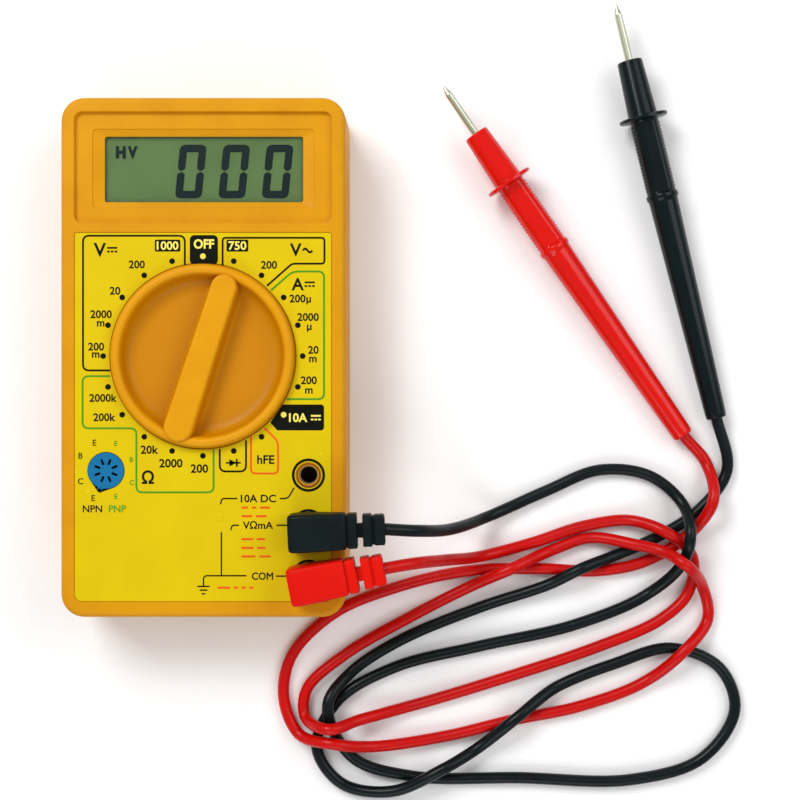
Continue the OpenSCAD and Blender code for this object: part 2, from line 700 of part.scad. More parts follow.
module probe_place(tail, turn) {
    translate(tail) rotate(turn) rotate([0, 90 - probe_tilt, 0]) children();
}

module probe_handle() {
    guard_r = guard_d / 2;
    difference() {
        rotate_extrude() polygon([[0, 0], [tail_r - 0.4, 0], [tail_r, 0.6], [3.75, guard_at - 21.5],
            [3.85, guard_at - 21], [4.1, guard_at - 20.4], [4, guard_at - 19.8],
            [3.75, guard_at - 19.4], [3.6, guard_at - 0.5], [guard_r, guard_at - 0.5],
            [guard_r, guard_at + 0.5], [3.75, guard_at + 0.6], [3.2, probe_l - 0.3],
            [2.9, probe_l], [0, probe_l]]);
        translate([0, 0, probe_l - 12]) cylinder(r = tip_d / 2 - 0.2, h = 12 + cut);
    }
}

module probe_tip() {
    translate([0, 0, probe_l - 12]) {
        cylinder(r = tip_d / 2 - 0.2, h = 13);
        translate([0, 0, 12]) cylinder(r = tip_d / 2, h = 12);
        translate([0, 0, 24]) cylinder(r1 = tip_d / 2, r2 = 0.15, h = 3);
    }
}

module black_plug_body() { color(lead_black) plug_place(1, black_plug_turn) plug_body(); }
module black_plug_pin() { color(metal) plug_place(1, black_plug_turn) plug_pin(); }
module black_plug_spring() { color(metal) plug_place(1, black_plug_turn) plug_spring(); }
module black_cable() { color(lead_black) tube(lowered(black_route), cord_r, 8, [0, 0, 1]); }
module black_probe_handle() { color(lead_black) probe_place(black_tail, black_turn) probe_handle(); }
module black_probe_tip() { color(metal) probe_place(black_tail, black_turn) probe_tip(); }

module red_plug_body() { color(lead_red) plug_place(2, red_plug_turn) plug_body(); }
module red_plug_pin() { color(metal) plug_place(2, red_plug_turn) plug_pin(); }
module red_plug_spring() { color(metal) plug_place(2, red_plug_turn) plug_spring(); }
module red_cable() { color(lead_red) tube(lowered(red_route), cord_r, 8, [0, 0, 1]); }
module red_probe_handle() { color(lead_red) probe_place(red_tail, red_turn) probe_handle(); }
module red_probe_tip() { color(metal) probe_place(red_tail, red_turn) probe_tip(); }

front_case();
rear_cover();
case_screws();
front_label();
display_window();
lcd_panel();
lcd_frame();
zebra_strip();
circuit_board();
switch_tracks();
board_screws();
converter_chip();
selector_knob();
contact_springs();
detent_ball_left();
detent_ball_right();
detent_spring_left();
detent_spring_right();
jack_10a();
jack_volt();
jack_com();
shunt_wire();
fuse_glass();
fuse_caps();
fuse_clips();
transistor_socket();
socket_contacts();
trimmer_body();
trimmer_rotor();
resistors();
film_capacitors();
electrolytic_capacitor();
battery();
battery_terminals();
battery_clip();
battery_wire_red();
battery_wire_black();
black_plug_body();
black_plug_pin();
black_plug_spring();
black_cable();
black_probe_handle();
black_probe_tip();
red_plug_body();
red_plug_pin();
red_plug_spring();
red_cable();
red_probe_handle();
red_probe_tip();
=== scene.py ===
"""Looks of a pocket digital multimeter and its two test leads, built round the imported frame.

The meter lies on its back: X is to the right and Y is up on the front face, and Z comes out
of the face. Classes hold their sizes in millimetres, and MeshMaker turns them into metres.
"""

from __future__ import annotations

import json
import logging
import math
from collections.abc import Iterable, Sequence
from dataclasses import dataclass
from enum import Enum
from functools import lru_cache

import bmesh
import bpy
from mathutils import Matrix, Vector
from mathutils.geometry import tessellate_polygon

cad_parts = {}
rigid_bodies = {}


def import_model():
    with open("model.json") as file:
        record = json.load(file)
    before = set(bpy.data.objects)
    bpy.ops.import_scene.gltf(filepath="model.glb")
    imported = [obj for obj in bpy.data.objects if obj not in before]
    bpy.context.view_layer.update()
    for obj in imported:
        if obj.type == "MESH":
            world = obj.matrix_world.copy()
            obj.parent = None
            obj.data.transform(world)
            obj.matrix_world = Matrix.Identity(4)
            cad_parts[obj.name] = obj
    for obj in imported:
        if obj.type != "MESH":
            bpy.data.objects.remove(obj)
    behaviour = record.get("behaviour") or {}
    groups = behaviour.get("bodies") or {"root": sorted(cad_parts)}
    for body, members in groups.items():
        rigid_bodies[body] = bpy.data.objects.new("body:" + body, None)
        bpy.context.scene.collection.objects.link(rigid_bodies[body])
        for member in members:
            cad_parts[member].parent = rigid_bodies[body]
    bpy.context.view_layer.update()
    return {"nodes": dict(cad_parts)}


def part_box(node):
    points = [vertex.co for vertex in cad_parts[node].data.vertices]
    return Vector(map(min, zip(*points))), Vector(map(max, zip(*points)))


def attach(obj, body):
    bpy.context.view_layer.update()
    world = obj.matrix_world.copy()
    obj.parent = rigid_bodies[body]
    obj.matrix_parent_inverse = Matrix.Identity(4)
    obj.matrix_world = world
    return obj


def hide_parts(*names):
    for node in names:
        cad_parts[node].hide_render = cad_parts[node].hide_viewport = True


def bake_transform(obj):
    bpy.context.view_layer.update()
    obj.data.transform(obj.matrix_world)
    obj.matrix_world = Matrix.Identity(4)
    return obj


log = logging.getLogger("multimeter")

MM = 0.001
PRINT_T = 0.03

Point2 = tuple[float, float]
Point3 = tuple[float, float, float]
Colour = tuple[int, int, int]


# ---- finishes ----


def linear(colour: Colour) -> tuple[float, float, float, float]:
    """Turns an sRGB colour from 0 to 255 into the linear one that shaders take."""
    parts = [c / 255 for c in colour]
    flat = [c / 12.92 if c < 0.04045 else ((c + 0.055) / 1.055) ** 2.4 for c in parts]
    return (flat[0], flat[1], flat[2], 1.0)


def new_tree(name: str, kind: str, takes: dict[str, str],
             gives: dict[str, str]) -> bpy.types.NodeTree:
    """Starts a node tree.

    Args:
        name: Name of the tree.
        kind: Shader or Geometry.
        takes: Kind of each socket that it takes in, by name.
        gives: Kind of each socket that it puts out, by name.

    Returns:
        The tree, with its sockets and no node yet.
    """
    tree = bpy.data.node_groups.new(name, f"{kind}NodeTree")
    for way, sockets in (("INPUT", takes), ("OUTPUT", gives)):
        for socket, holds in sockets.items():
            tree.interface.new_socket(name=socket, in_out=way, socket_type=f"NodeSocket{holds}")
    return tree


def feed(tree: bpy.types.NodeTree, node: bpy.types.Node,
         inputs: dict[str | int, object]) -> None:
    """Gives inputs of a node, by name or number, a value or the output that they link to."""
    for key, value in inputs.items():
        if isinstance(value, bpy.types.NodeSocket):
            tree.links.new(value, node.inputs[key])
        else:
            node.inputs[key].default_value = value


def add_node(tree: bpy.types.NodeTree, kind: str, inputs: dict[str | int, object] | None = None,
             **settings: object) -> bpy.types.bpy_prop_collection:
    """Adds a node to a tree.

    Args:
        tree: The tree.
        kind: Type of the node.
        inputs: What its inputs get, as feed() takes it.
        settings: Settings of the node itself.

    Returns:
        The node's outputs.
    """
    node = tree.nodes.new(kind)
    for name, value in settings.items():
        setattr(node, name, value)
    feed(tree, node, inputs or {})
    return node.outputs


def blended(tree: bpy.types.NodeTree, share: bpy.types.NodeSocket, first: object,
            second: object) -> bpy.types.NodeSocket:
    """Adds a blend that is the first colour where share is 0 and the second where it is 1."""
    return add_node(tree, "ShaderNodeMix", {0: share, 6: first, 7: second}, data_type="RGBA")[2]


@lru_cache
def mottle_group() -> bpy.types.NodeTree:
    """Builds the group that moulded, printed and metal surfaces share.

    Returns:
        A group from Place and Grain to Tone, a slow mottling from 0 to 1, and Height, a
        fine grain for a bump.
    """
    tree = new_tree("surface_mottle", "Shader", {"Place": "Vector", "Grain": "Float"},
                    {"Tone": "Float", "Height": "Float"})
    come = add_node(tree, "NodeGroupInput")
    slow = add_node(tree, "ShaderNodeTexNoise",
                    {"Vector": come["Place"], "Scale": 90.0, "Detail": 4.0})
    fine = add_node(tree, "ShaderNodeTexNoise",
                    {"Vector": come["Place"], "Scale": come["Grain"], "Detail": 2.0})
    mixed = add_node(tree, "ShaderNodeMath", {0: fine["Fac"], 1: 0.35, 2: slow["Fac"]},
                     operation="MULTIPLY_ADD")
    spread = add_node(tree, "ShaderNodeMapRange",
                      {"Value": mixed[0], "From Min": 0.45, "From Max": 0.95})
    add_node(tree, "NodeGroupOutput", {"Tone": spread["Result"], "Height": fine["Fac"]})
    return tree


@lru_cache
def lint_group() -> bpy.types.NodeTree:
    """Builds the group of dust specks that dark and printed surfaces share.

    Returns:
        A group from Place and Density to Mask, which is 1 on a speck and 0 elsewhere.
    """
    tree = new_tree("dust_specks", "Shader", {"Place": "Vector", "Density": "Float"},
                    {"Mask": "Float"})
    come = add_node(tree, "NodeGroupInput")
    cells = add_node(tree, "ShaderNodeTexVoronoi",
                     {"Vector": come["Place"], "Scale": come["Density"]})
    patches = add_node(tree, "ShaderNodeTexNoise", {"Vector": come["Place"], "Scale": 60.0})
    size = add_node(tree, "ShaderNodeMapRange", {
        "Value": patches["Fac"], "From Min": 0.5, "From Max": 0.75, "To Max": 0.16})
    speck = add_node(tree, "ShaderNodeMath", {0: cells["Distance"], 1: size["Result"]},
                     operation="LESS_THAN")
    add_node(tree, "NodeGroupOutput", {"Mask": speck[0]})
    return tree


@dataclass(frozen=True)
class Finish:
    """A surface of the meter or its leads.

    Attributes:
        name: Name of the material.
        colour: Colour that most of the surface has.
        deep: Colour that the mottling reaches.
        rough: Lowest and highest roughness.
        grain: Size of the fine grain in millimetres.
        bump: Height of that grain in millimetres.
        metallic: 1 for bare metal.
        specular: Specular level of the shader.
        alpha: 1 for a solid surface, less for a clear one.
        specks: Dust specks to a metre, or 0 for none.
        speck_colour: Colour of those specks.
        stretch: Scale of the pattern along each axis.
        sunk: Painted shade, a darker colour put towards the bottom of a recess where shade falls,
            if set.
        painted_shade_z: Heights between which that painted shade goes over into the plain colour.
    """

    name: str
    colour: Colour
    deep: Colour
    rough: tuple[float, float] = (0.35, 0.5)
    grain: float = 0.35
    bump: float = 0.01
    metallic: float = 0.0
    specular: float = 0.5
    alpha: float = 1.0
    specks: float = 0.0
    speck_colour: Colour = (120, 130, 135)
    stretch: Point3 = (1.0, 1.0, 1.0)
    sunk: Colour | None = None
    painted_shade_z: tuple[float, float] = (24.9, 27.0)

    def build(self) -> bpy.types.Material:
        """Makes the material.

        Returns:
            A Principled material with mottled colour and roughness and a fine bump, and with
            painted shade towards the bottom of recesses where sunk is set.
        """
        material = bpy.data.materials.new(self.name)
        material.use_nodes = True
        tree = material.node_tree
        spot = add_node(tree, "ShaderNodeTexCoord")["Object"]
        place = add_node(tree, "ShaderNodeMapping",
                         {"Vector": spot, "Scale": self.stretch})["Vector"]
        mottle = add_node(tree, "ShaderNodeGroup",
                          {"Place": place, "Grain": 1 / (self.grain * MM)},
                          node_tree=mottle_group())
        rough = add_node(tree, "ShaderNodeMapRange", {
            "Value": mottle["Tone"], "To Min": self.rough[0], "To Max": self.rough[1]})
        bump = add_node(tree, "ShaderNodeBump", {
            "Height": mottle["Height"], "Distance": self.bump * MM, "Strength": 0.6})
        colour = blended(tree, mottle["Tone"], linear(self.colour), linear(self.deep))
        if self.specks:
            lint = add_node(tree, "ShaderNodeGroup", {"Place": place, "Density": self.specks},
                            node_tree=lint_group())
            colour = blended(tree, lint["Mask"], colour, linear(self.speck_colour))
        # Painted shade: towards the bottom of a recess the colour goes over by height to the darker
        # sunk colour, standing in for the shade that falls there.
        if self.sunk:
            height = add_node(tree, "ShaderNodeSeparateXYZ", {"Vector": spot})["Z"]
            share = add_node(tree, "ShaderNodeMapRange", {
                "Value": height, "From Min": self.painted_shade_z[0] * MM,
                "From Max": self.painted_shade_z[1] * MM})["Result"]
            colour = blended(tree, share, linear(self.sunk), colour)
        feed(tree, tree.nodes["Principled BSDF"], {
            "Base Color": colour, "Metallic": self.metallic, "Roughness": rough["Result"],
            "Specular IOR Level": self.specular, "Alpha": self.alpha, "Normal": bump["Normal"]})
        return material


def ink_finish(name: str, colour: Colour, deep: Colour, specular: float = 0.2) -> Finish:
    """Finish of a printing ink."""
    return Finish(name, colour, deep, (0.4, 0.55), 0.15, 0.001, specular=specular)


class Look(Enum):
    """Every finish of the meter and its leads."""

    AMBER = Finish("amber_plastic", (215, 150, 5), (206, 139, 3), (0.42, 0.55), 0.5, 0.012,
                   specular=0.14)
    # The knob's sunk colour is painted shade, darkening its dish and the foot of its grip bar where
    # shade falls.
    KNOB = Finish("amber_knob_plastic", (222, 154, 4), (212, 142, 2), (0.36, 0.5), 0.5, 0.01,
                  specular=0.16, sunk=(196, 128, 1))
    LABEL = Finish("label_film", (218, 192, 8), (212, 183, 5), (0.38, 0.48), 0.25, 0.002,
                   specular=0.1, specks=350.0, speck_colour=(224, 200, 30))
    CLEAR = Finish("clear_window", (150, 156, 150), (140, 146, 140), (0.08, 0.14), 2.0, 0.001,
                   specular=0.25, alpha=0.025)
    LCD = Finish("display_glass", (117, 150, 92), (108, 140, 84), (0.25, 0.35), 0.1, 0.001,
                 specular=0.2)
    DIGITS = Finish("display_digits", (4, 26, 26), (7, 32, 31), (0.4, 0.5), 0.3, 0.001,
                    specular=0.1)
    BLACK_INK = ink_finish("black_ink", (7, 9, 2), (16, 18, 4), 0.1)
    GREEN_INK = ink_finish("green_ink", (62, 142, 20), (80, 152, 24))
    ORANGE_INK = ink_finish("orange_ink", (226, 78, 14), (230, 96, 18))
    MAROON_INK = ink_finish("maroon_ink", (92, 22, 8), (110, 32, 10))
    YELLOW_INK = ink_finish("yellow_ink", (246, 232, 110), (242, 224, 90))
    BLUE = Finish("socket_blue_plastic", (18, 112, 160), (12, 98, 146), (0.35, 0.5), 0.4, 0.008,
                  specular=0.18)
    BLACK_VINYL = Finish("black_vinyl", (4, 15, 17), (8, 22, 24), (0.26, 0.38), 0.6, 0.01,
                         specular=0.2, specks=500.0, speck_colour=(40, 52, 56))
    RED_VINYL = Finish("red_vinyl", (202, 6, 3), (184, 4, 2), (0.26, 0.38), 0.6, 0.01,
                       specular=0.22)
    PLUG_BLACK = Finish("black_plug_rubber", (3, 15, 16), (6, 22, 23), (0.42, 0.58), 0.5, 0.02,
                        specular=0.14, specks=500.0, speck_colour=(34, 46, 50))
    PLUG_RED = Finish("red_plug_rubber", (222, 18, 1), (212, 11, 1), (0.4, 0.55), 0.5, 0.02,
                      specular=0.12)
    PROBE_BLACK = Finish("black_probe_plastic", (3, 16, 18), (6, 22, 24), (0.18, 0.28), 0.8,
                         0.006, specular=0.2)
    PROBE_RED = Finish("red_probe_plastic", (218, 12, 1), (209, 8, 1), (0.12, 0.2), 0.8, 0.006,
                       specular=0.3)
    STEEL = Finish("bright_steel", (218, 221, 200), (188, 192, 168), (0.26, 0.42), 0.2, 0.002,
                   metallic=1.0, stretch=(1.0, 1.0, 6.0))
    BRASS = Finish("nickelled_brass", (200, 186, 140), (160, 140, 92), (0.25, 0.4), 0.2, 0.003,
                   metallic=1.0)
    GOLD = Finish("gold_plate", (226, 182, 88), (205, 158, 66), (0.2, 0.35), 0.1, 0.002,
                  metallic=1.0)
    MANGANIN = Finish("manganin_wire", (176, 128, 96), (150, 104, 76), (0.3, 0.45), 0.2, 0.003,
                      metallic=1.0)
    BOARD = Finish("solder_mask", (24, 92, 52), (16, 74, 40), (0.3, 0.45), 0.3, 0.006)
    EPOXY = Finish("chip_resin", (22, 22, 24), (32, 32, 34), (0.25, 0.4), 0.4, 0.01)
    ELASTOMER = Finish("striped_rubber", (52, 52, 54), (150, 120, 110), (0.5, 0.65), 0.1, 0.004,
                       stretch=(40.0, 1.0, 1.0))
    WHITE = Finish("white_plastic", (226, 226, 218), (212, 212, 202), (0.35, 0.5), 0.4, 0.006)
    GLASS = Finish("fuse_glass", (214, 224, 222), (200, 212, 210), (0.04, 0.08), 1.0, 0.001,
                   alpha=0.25)
    TRIMMER = Finish("trimmer_blue_plastic", (36, 84, 170), (28, 70, 150), (0.35, 0.5), 0.3, 0.006)
    RESISTOR = Finish("resistor_lacquer", (202, 172, 128), (186, 152, 108), (0.3, 0.45), 0.3,
                      0.006)
    FILM = Finish("film_capacitor_coat", (186, 72, 36), (164, 58, 28), (0.25, 0.4), 0.4, 0.006)
    SLEEVE = Finish("capacitor_sleeve", (30, 44, 88), (24, 36, 74), (0.25, 0.4), 0.5, 0.004)
    JACKET = Finish("battery_jacket", (52, 56, 62), (40, 44, 50), (0.25, 0.4), 0.5, 0.004,
                    metallic=0.4)
    BLACK_PLASTIC = Finish("black_plastic", (26, 26, 28), (36, 36, 38), (0.4, 0.55), 0.4, 0.008)
    FLOOR = Finish("studio_floor", (250, 250, 250), (247, 247, 248), (0.75, 0.9), 2.0, 0.001,
                   specular=0.1)


@lru_cache
def material_of(look: Look) -> bpy.types.Material:
    """The material of a finish, made once."""
    return look.value.build()


def wear(thing: bpy.types.Object, look: Look) -> bpy.types.Object:
    """Gives every face of a piece one finish."""
    thing.data.materials.clear()
    thing.data.materials.append(material_of(look))
    return thing


# ---- shapes ----


def rounded(width: float, length: float, radius: float, mid: Point2 = (0.0, 0.0),
            steps: int = 10, upper: float | None = None) -> list[Point2]:
    """Outlines a rectangle with rounded corners, anticlockwise.

    Args:
        width: Size along X.
        length: Size along Y.
        radius: Radius of the corners.
        mid: Middle of the rectangle.
        steps: Steps in each corner.
        upper: Radius of the two upper corners, if it differs.

    Returns:
        Four times steps + 1 points.
    """
    points = []
    for turn, (sx, sy) in enumerate([(1, 1), (-1, 1), (-1, -1), (1, -1)]):
        r = radius if upper is None or sy < 0 else upper
        for k in range(steps + 1):
            a = math.radians(90 * (turn + k / steps))
            points.append((mid[0] + sx * (width / 2 - r) + r * math.cos(a),
                           mid[1] + sy * (length / 2 - r) + r * math.sin(a)))
    return points


def circle(radius: float, mid: Point2 = (0.0, 0.0), count: int = 64) -> list[Point2]:
    """Outlines a circle, anticlockwise."""
    return [(mid[0] + radius * math.cos(math.tau * k / count),
             mid[1] + radius * math.sin(math.tau * k / count)) for k in range(count)]


def filleted(points: Sequence[Point2], radius: float, steps: int = 5) -> list[Point2]:
    """Rounds the inner corners of an open line.

    Args:
        points: Corners of the line.
        radius: Length that each corner takes off its two sides.
        steps: Steps in each corner.

    Returns:
        The line with a short curve at each corner.
    """
    line = [points[0]]
    for before, here, after in zip(points, points[1:], points[2:]):
        h = Vector(here)
        a, b = Vector(before) - h, Vector(after) - h
        reach = min(radius, a.length * 0.45, b.length * 0.45)
        start, end = h + a.normalized() * reach, h + b.normalized() * reach
        for k in range(steps + 1):
            t = k / steps
            line.append(tuple(start * (1 - t) ** 2 + h * 2 * t * (1 - t) + end * t * t))
    return [*line, points[-1]]


class MeshMaker:
    """Collects points in millimetres and faces, and makes one closed mesh piece in metres."""

    def __init__(self) -> None:
        """Starts with nothing."""
        self.points: list[Vector] = []
        self.faces: list[tuple[int, ...]] = []
        self.flat: set[int] = set()

    def ring(self, outline: Iterable[Point2], z: float) -> list[int]:
        """Adds an outline at a height, and gives the numbers of its points."""
        return self.loop([(x, y, z) for x, y in outline])

    def loop(self, points: Iterable[Sequence[float]]) -> list[int]:
        """Adds points, and gives their numbers."""
        start = len(self.points)
        self.points += [Vector(p) for p in points]
        return list(range(start, len(self.points)))

    def wall(self, rings: Sequence[Sequence[int]]) -> None:
        """Joins rings of the same count with strips of four-sided faces."""
        for low, high in zip(rings, rings[1:]):
            count = len(low)
            for k in range(count):
                n = (k + 1) % count
                self.faces.append((low[k], low[n], high[n], high[k]))

    def plate(self, outer: Sequence[int], holes: Sequence[Sequence[int]] = ()) -> None:
        """Fills a flat outline, leaving its holes open.

        Args:
            outer: Ring round the plate.
            holes: Rings round its holes.
        """
        rings = [outer, *holes]
        numbers = [n for r in rings for n in r]
        for tri in tessellate_polygon([[self.points[n] for n in r] for r in rings]):
            self.flat.add(len(self.faces))
            self.faces.append(tuple(numbers[i] for i in tri))

    def stack(self, levels: Iterable[tuple[Sequence[Point2], float]]) -> list[list[int]]:
        """Adds a wall through outlines at their heights, and gives its rings."""
        rings = [self.ring(outline, z) for outline, z in levels]
        self.wall(rings)
        return rings

    def shaft(self, outline: Sequence[Point2], *heights: float) -> list[list[int]]:
        """Adds an upright wall on an outline, and gives its rings."""
        return self.stack((outline, z) for z in heights)

    def close(self, rings: Sequence[Sequence[int]]) -> None:
        """Fills the first and the last ring of a wall."""
        self.plate(rings[0])
        self.plate(rings[-1])

    def prism(self, outline: Sequence[Point2], low: float, high: float) -> None:
        """Adds a closed prism on an outline."""
        self.close(self.shaft(outline, low, high))

    def tube_ring(self, outer: Sequence[Point2], inner: Sequence[Point2], low: float,
                  high: float) -> None:
        """Adds a closed flat ring between two outlines of the same count."""
        rings = [self.ring(outer, low), self.ring(outer, high), self.ring(inner, high),
                 self.ring(inner, low)]
        self.wall([*rings, rings[0]])

    def ribbon(self, line: Sequence[Point2], width: float, low: float, high: float) -> None:
        """Adds a closed flat stripe along an open line.

        Args:
            line: Middle of the stripe.
            width: Width of the stripe.
            low: Height of its underside.
            high: Height of its top.
        """
        sides: list[tuple[Point2, Point2]] = []
        for k, here in enumerate(line):
            h = Vector(here)
            back = (h - Vector(line[max(k - 1, 0)])).normalized()
            on = (Vector(line[min(k + 1, len(line) - 1)]) - h).normalized()
            along = (back + on).normalized()
            across = Vector((-along.y, along.x))
            lean = max(0.5, abs(across.dot(Vector((-on.y, on.x)))) if on.length else 1.0)
            step = across * (width / 2 / lean)
            sides.append((tuple(h + step), tuple(h - step)))
        rings = [self.loop([(*a, low), (*a, high), (*b, high), (*b, low)]) for a, b in sides]
        self.wall(rings)
        self.faces += [tuple(rings[0]), tuple(rings[-1])]

    def take(self, mesh: bpy.types.Mesh, place: Matrix) -> None:
        """Adds a mesh whose points are in millimetres, put in place first."""
        start = len(self.points)
        self.points += [place @ v.co for v in mesh.vertices]
        self.faces += [tuple(start + n for n in f.vertices) for f in mesh.polygons]

    def make(self, name: str, look: Look, place: Matrix | None = None,
             crease: float = 38.0) -> bpy.types.Object:
        """Makes the piece.

        Args:
            name: Name of the piece.
            look: Its finish.
            place: Turn and place in millimetres.
            crease: Angle in degrees past which an edge stays sharp.

        Returns:
            A piece at the origin, with its place in its mesh and its faces outwards.
        """
        place = place or Matrix.Identity(4)
        form = bmesh.new()
        spots = [form.verts.new((place @ p) * MM) for p in self.points]
        for k, face in enumerate(self.faces):
            made = form.faces.new([spots[n] for n in face])
            made.smooth = k not in self.flat
        bmesh.ops.remove_doubles(form, verts=form.verts, dist=1e-7)
        bmesh.ops.recalc_face_normals(form, faces=form.faces)
        mesh = bpy.data.meshes.new(name)
        form.to_mesh(mesh)
        form.free()
        smooth = [face.use_smooth for face in mesh.polygons]
        mesh.set_sharp_from_angle(angle=math.radians(crease))
        mesh.polygons.foreach_set("use_smooth", smooth)
        piece = bpy.data.objects.new(name, mesh)
        bpy.context.scene.collection.objects.link(piece)
        return wear(piece, look)


def revolve(maker: MeshMaker, profile: Sequence[Point2], count: int = 48,
            squeeze: Sequence[float] | None = None) -> None:
    """Turns a profile about Z into a closed form.

    Args:
        maker: Where the form goes.
        profile: Radius and height of each ring, from one end to the other.
        count: Points in each ring.
        squeeze: For each ring, the share of its radius that X is cut flat at.
    """
    rings = []
    for k, (radius, z) in enumerate(profile):
        limit = radius * (squeeze[k] if squeeze else 1.0)
        rings.append(maker.loop([(max(-limit, min(limit, x)), y, z)
                                 for x, y in circle(radius, count=count)]))
    maker.wall(rings)
    maker.close(rings)


@lru_cache
def cap_share() -> float:
    """Height of a capital letter as a share of the lettering's size."""
    mesh = letters("H", 1.0)
    return max(v.co.y for v in mesh.vertices) - min(v.co.y for v in mesh.vertices)


def letters(text: str, size: float, bold: float = 0.0) -> bpy.types.Mesh:
    """Makes solid lettering.

    Args:
        text: What it says.
        size: Size of the lettering.
        bold: How far each stroke grows outwards.

    Returns:
        A mesh that stands on the X axis, PRINT_T thick.
    """
    curve = bpy.data.curves.new("lettering", "FONT")
    curve.body = text
    curve.size = size
    curve.extrude = PRINT_T / 2
    curve.bevel_depth = bold
    curve.bevel_resolution = 0
    curve.resolution_u = 3
    holder = bpy.data.objects.new("lettering", curve)
    bpy.context.scene.collection.objects.link(holder)
    graph = bpy.context.evaluated_depsgraph_get()
    mesh = bpy.data.meshes.new_from_object(holder.evaluated_get(graph))
    bpy.data.objects.remove(holder)
    mesh.transform(Matrix.Diagonal((1.0, 1.0, PRINT_T / 2 / (PRINT_T / 2 + bold), 1.0)))
    return mesh


# ---- repeated shapes, made by geometry nodes ----


def finish_tree(tree: bpy.types.NodeTree, finish: bpy.types.NodeSocket,
                last: bpy.types.NodeSocket) -> None:
    """Ends a tree in Realize Instances and Set Material.

    Args:
        tree: The tree.
        finish: Where the material comes from.
        last: Where the instances come from.
    """
    real = add_node(tree, "GeometryNodeRealizeInstances", {"Geometry": last})
    paint = add_node(tree, "GeometryNodeSetMaterial",
                     {"Geometry": real["Geometry"], "Material": finish})
    add_node(tree, "NodeGroupOutput", {"Geometry": paint["Geometry"]})


@lru_cache
def dial_dots_tree() -> bpy.types.NodeTree:
    """Builds the tree that sets printed dots round a dial.

    Returns:
        A tree with the inputs Count, Dial Radius, Dot Radius, Thickness, First Turn, Place
        and Finish, in metres and radians.
    """
    tree = new_tree("dial_dots", "Geometry", {
        "Count": "Int", "Dial Radius": "Float", "Dot Radius": "Float", "Thickness": "Float",
        "First Turn": "Vector", "Place": "Vector", "Finish": "Material"},
        {"Geometry": "Geometry"})
    come = add_node(tree, "NodeGroupInput")
    dial = add_node(tree, "GeometryNodeMeshCircle",
                    {"Vertices": come["Count"], "Radius": come["Dial Radius"]})
    dot = add_node(tree, "GeometryNodeMeshCylinder", {
        "Vertices": 20, "Radius": come["Dot Radius"], "Depth": come["Thickness"]})
    spread = add_node(tree, "GeometryNodeInstanceOnPoints",
                      {"Points": dial["Mesh"], "Instance": dot["Mesh"]})
    move = add_node(tree, "GeometryNodeTransform", {
        "Geometry": spread["Instances"], "Rotation": come["First Turn"],
        "Translation": come["Place"]})
    finish_tree(tree, come["Finish"], move["Geometry"])
    return tree


@lru_cache
def grip_ribs_tree() -> bpy.types.NodeTree:
    """Builds the tree that sets ribs along a handle.

    Returns:
        A tree with the inputs Count, Step, Rib Radius, Rib Width, Squash, Place and
        Finish, in metres.
    """
    tree = new_tree("grip_ribs", "Geometry", {
        "Count": "Int", "Step": "Vector", "Rib Radius": "Float", "Rib Width": "Float",
        "Squash": "Vector", "Place": "Vector", "Finish": "Material"}, {"Geometry": "Geometry"})
    come = add_node(tree, "NodeGroupInput")
    row = add_node(tree, "GeometryNodeMeshLine", {
        "Count": come["Count"], "Start Location": come["Place"], "Offset": come["Step"]})
    rib = add_node(tree, "GeometryNodeMeshCylinder", {
        "Vertices": 32, "Radius": come["Rib Radius"], "Depth": come["Rib Width"]})
    spread = add_node(tree, "GeometryNodeInstanceOnPoints", {
        "Points": row["Mesh"], "Instance": rib["Mesh"], "Scale": come["Squash"]})
    finish_tree(tree, come["Finish"], spread["Instances"])
    return tree


def grow(name: str, tree: bpy.types.NodeTree, values: dict[str, object],
         place: Matrix | None = None) -> bpy.types.Object:
    """Makes a plain mesh piece from a geometry tree.

    Args:
        name: Name of the piece.
        tree: The tree.
        values: Value of each of its inputs, by name.
        place: Turn and place in metres.

    Returns:
        The piece, at the origin and with no modifier.
    """
    piece = bpy.data.objects.new(name, bpy.data.meshes.new(name))
    bpy.context.scene.collection.objects.link(piece)
    modifier = piece.modifiers.new(name, "NODES")
    modifier.node_group = tree
    for item in tree.interface.items_tree:
        if item.item_type == "SOCKET" and item.in_out == "INPUT":
            modifier[item.identifier] = values[item.name]
    graph = bpy.context.evaluated_depsgraph_get()
    mesh = bpy.data.meshes.new_from_object(piece.evaluated_get(graph))
    piece.modifiers.clear()
    piece.data = mesh
    mesh.transform(place or Matrix.Identity(4))
    return piece


# ---- the case ----


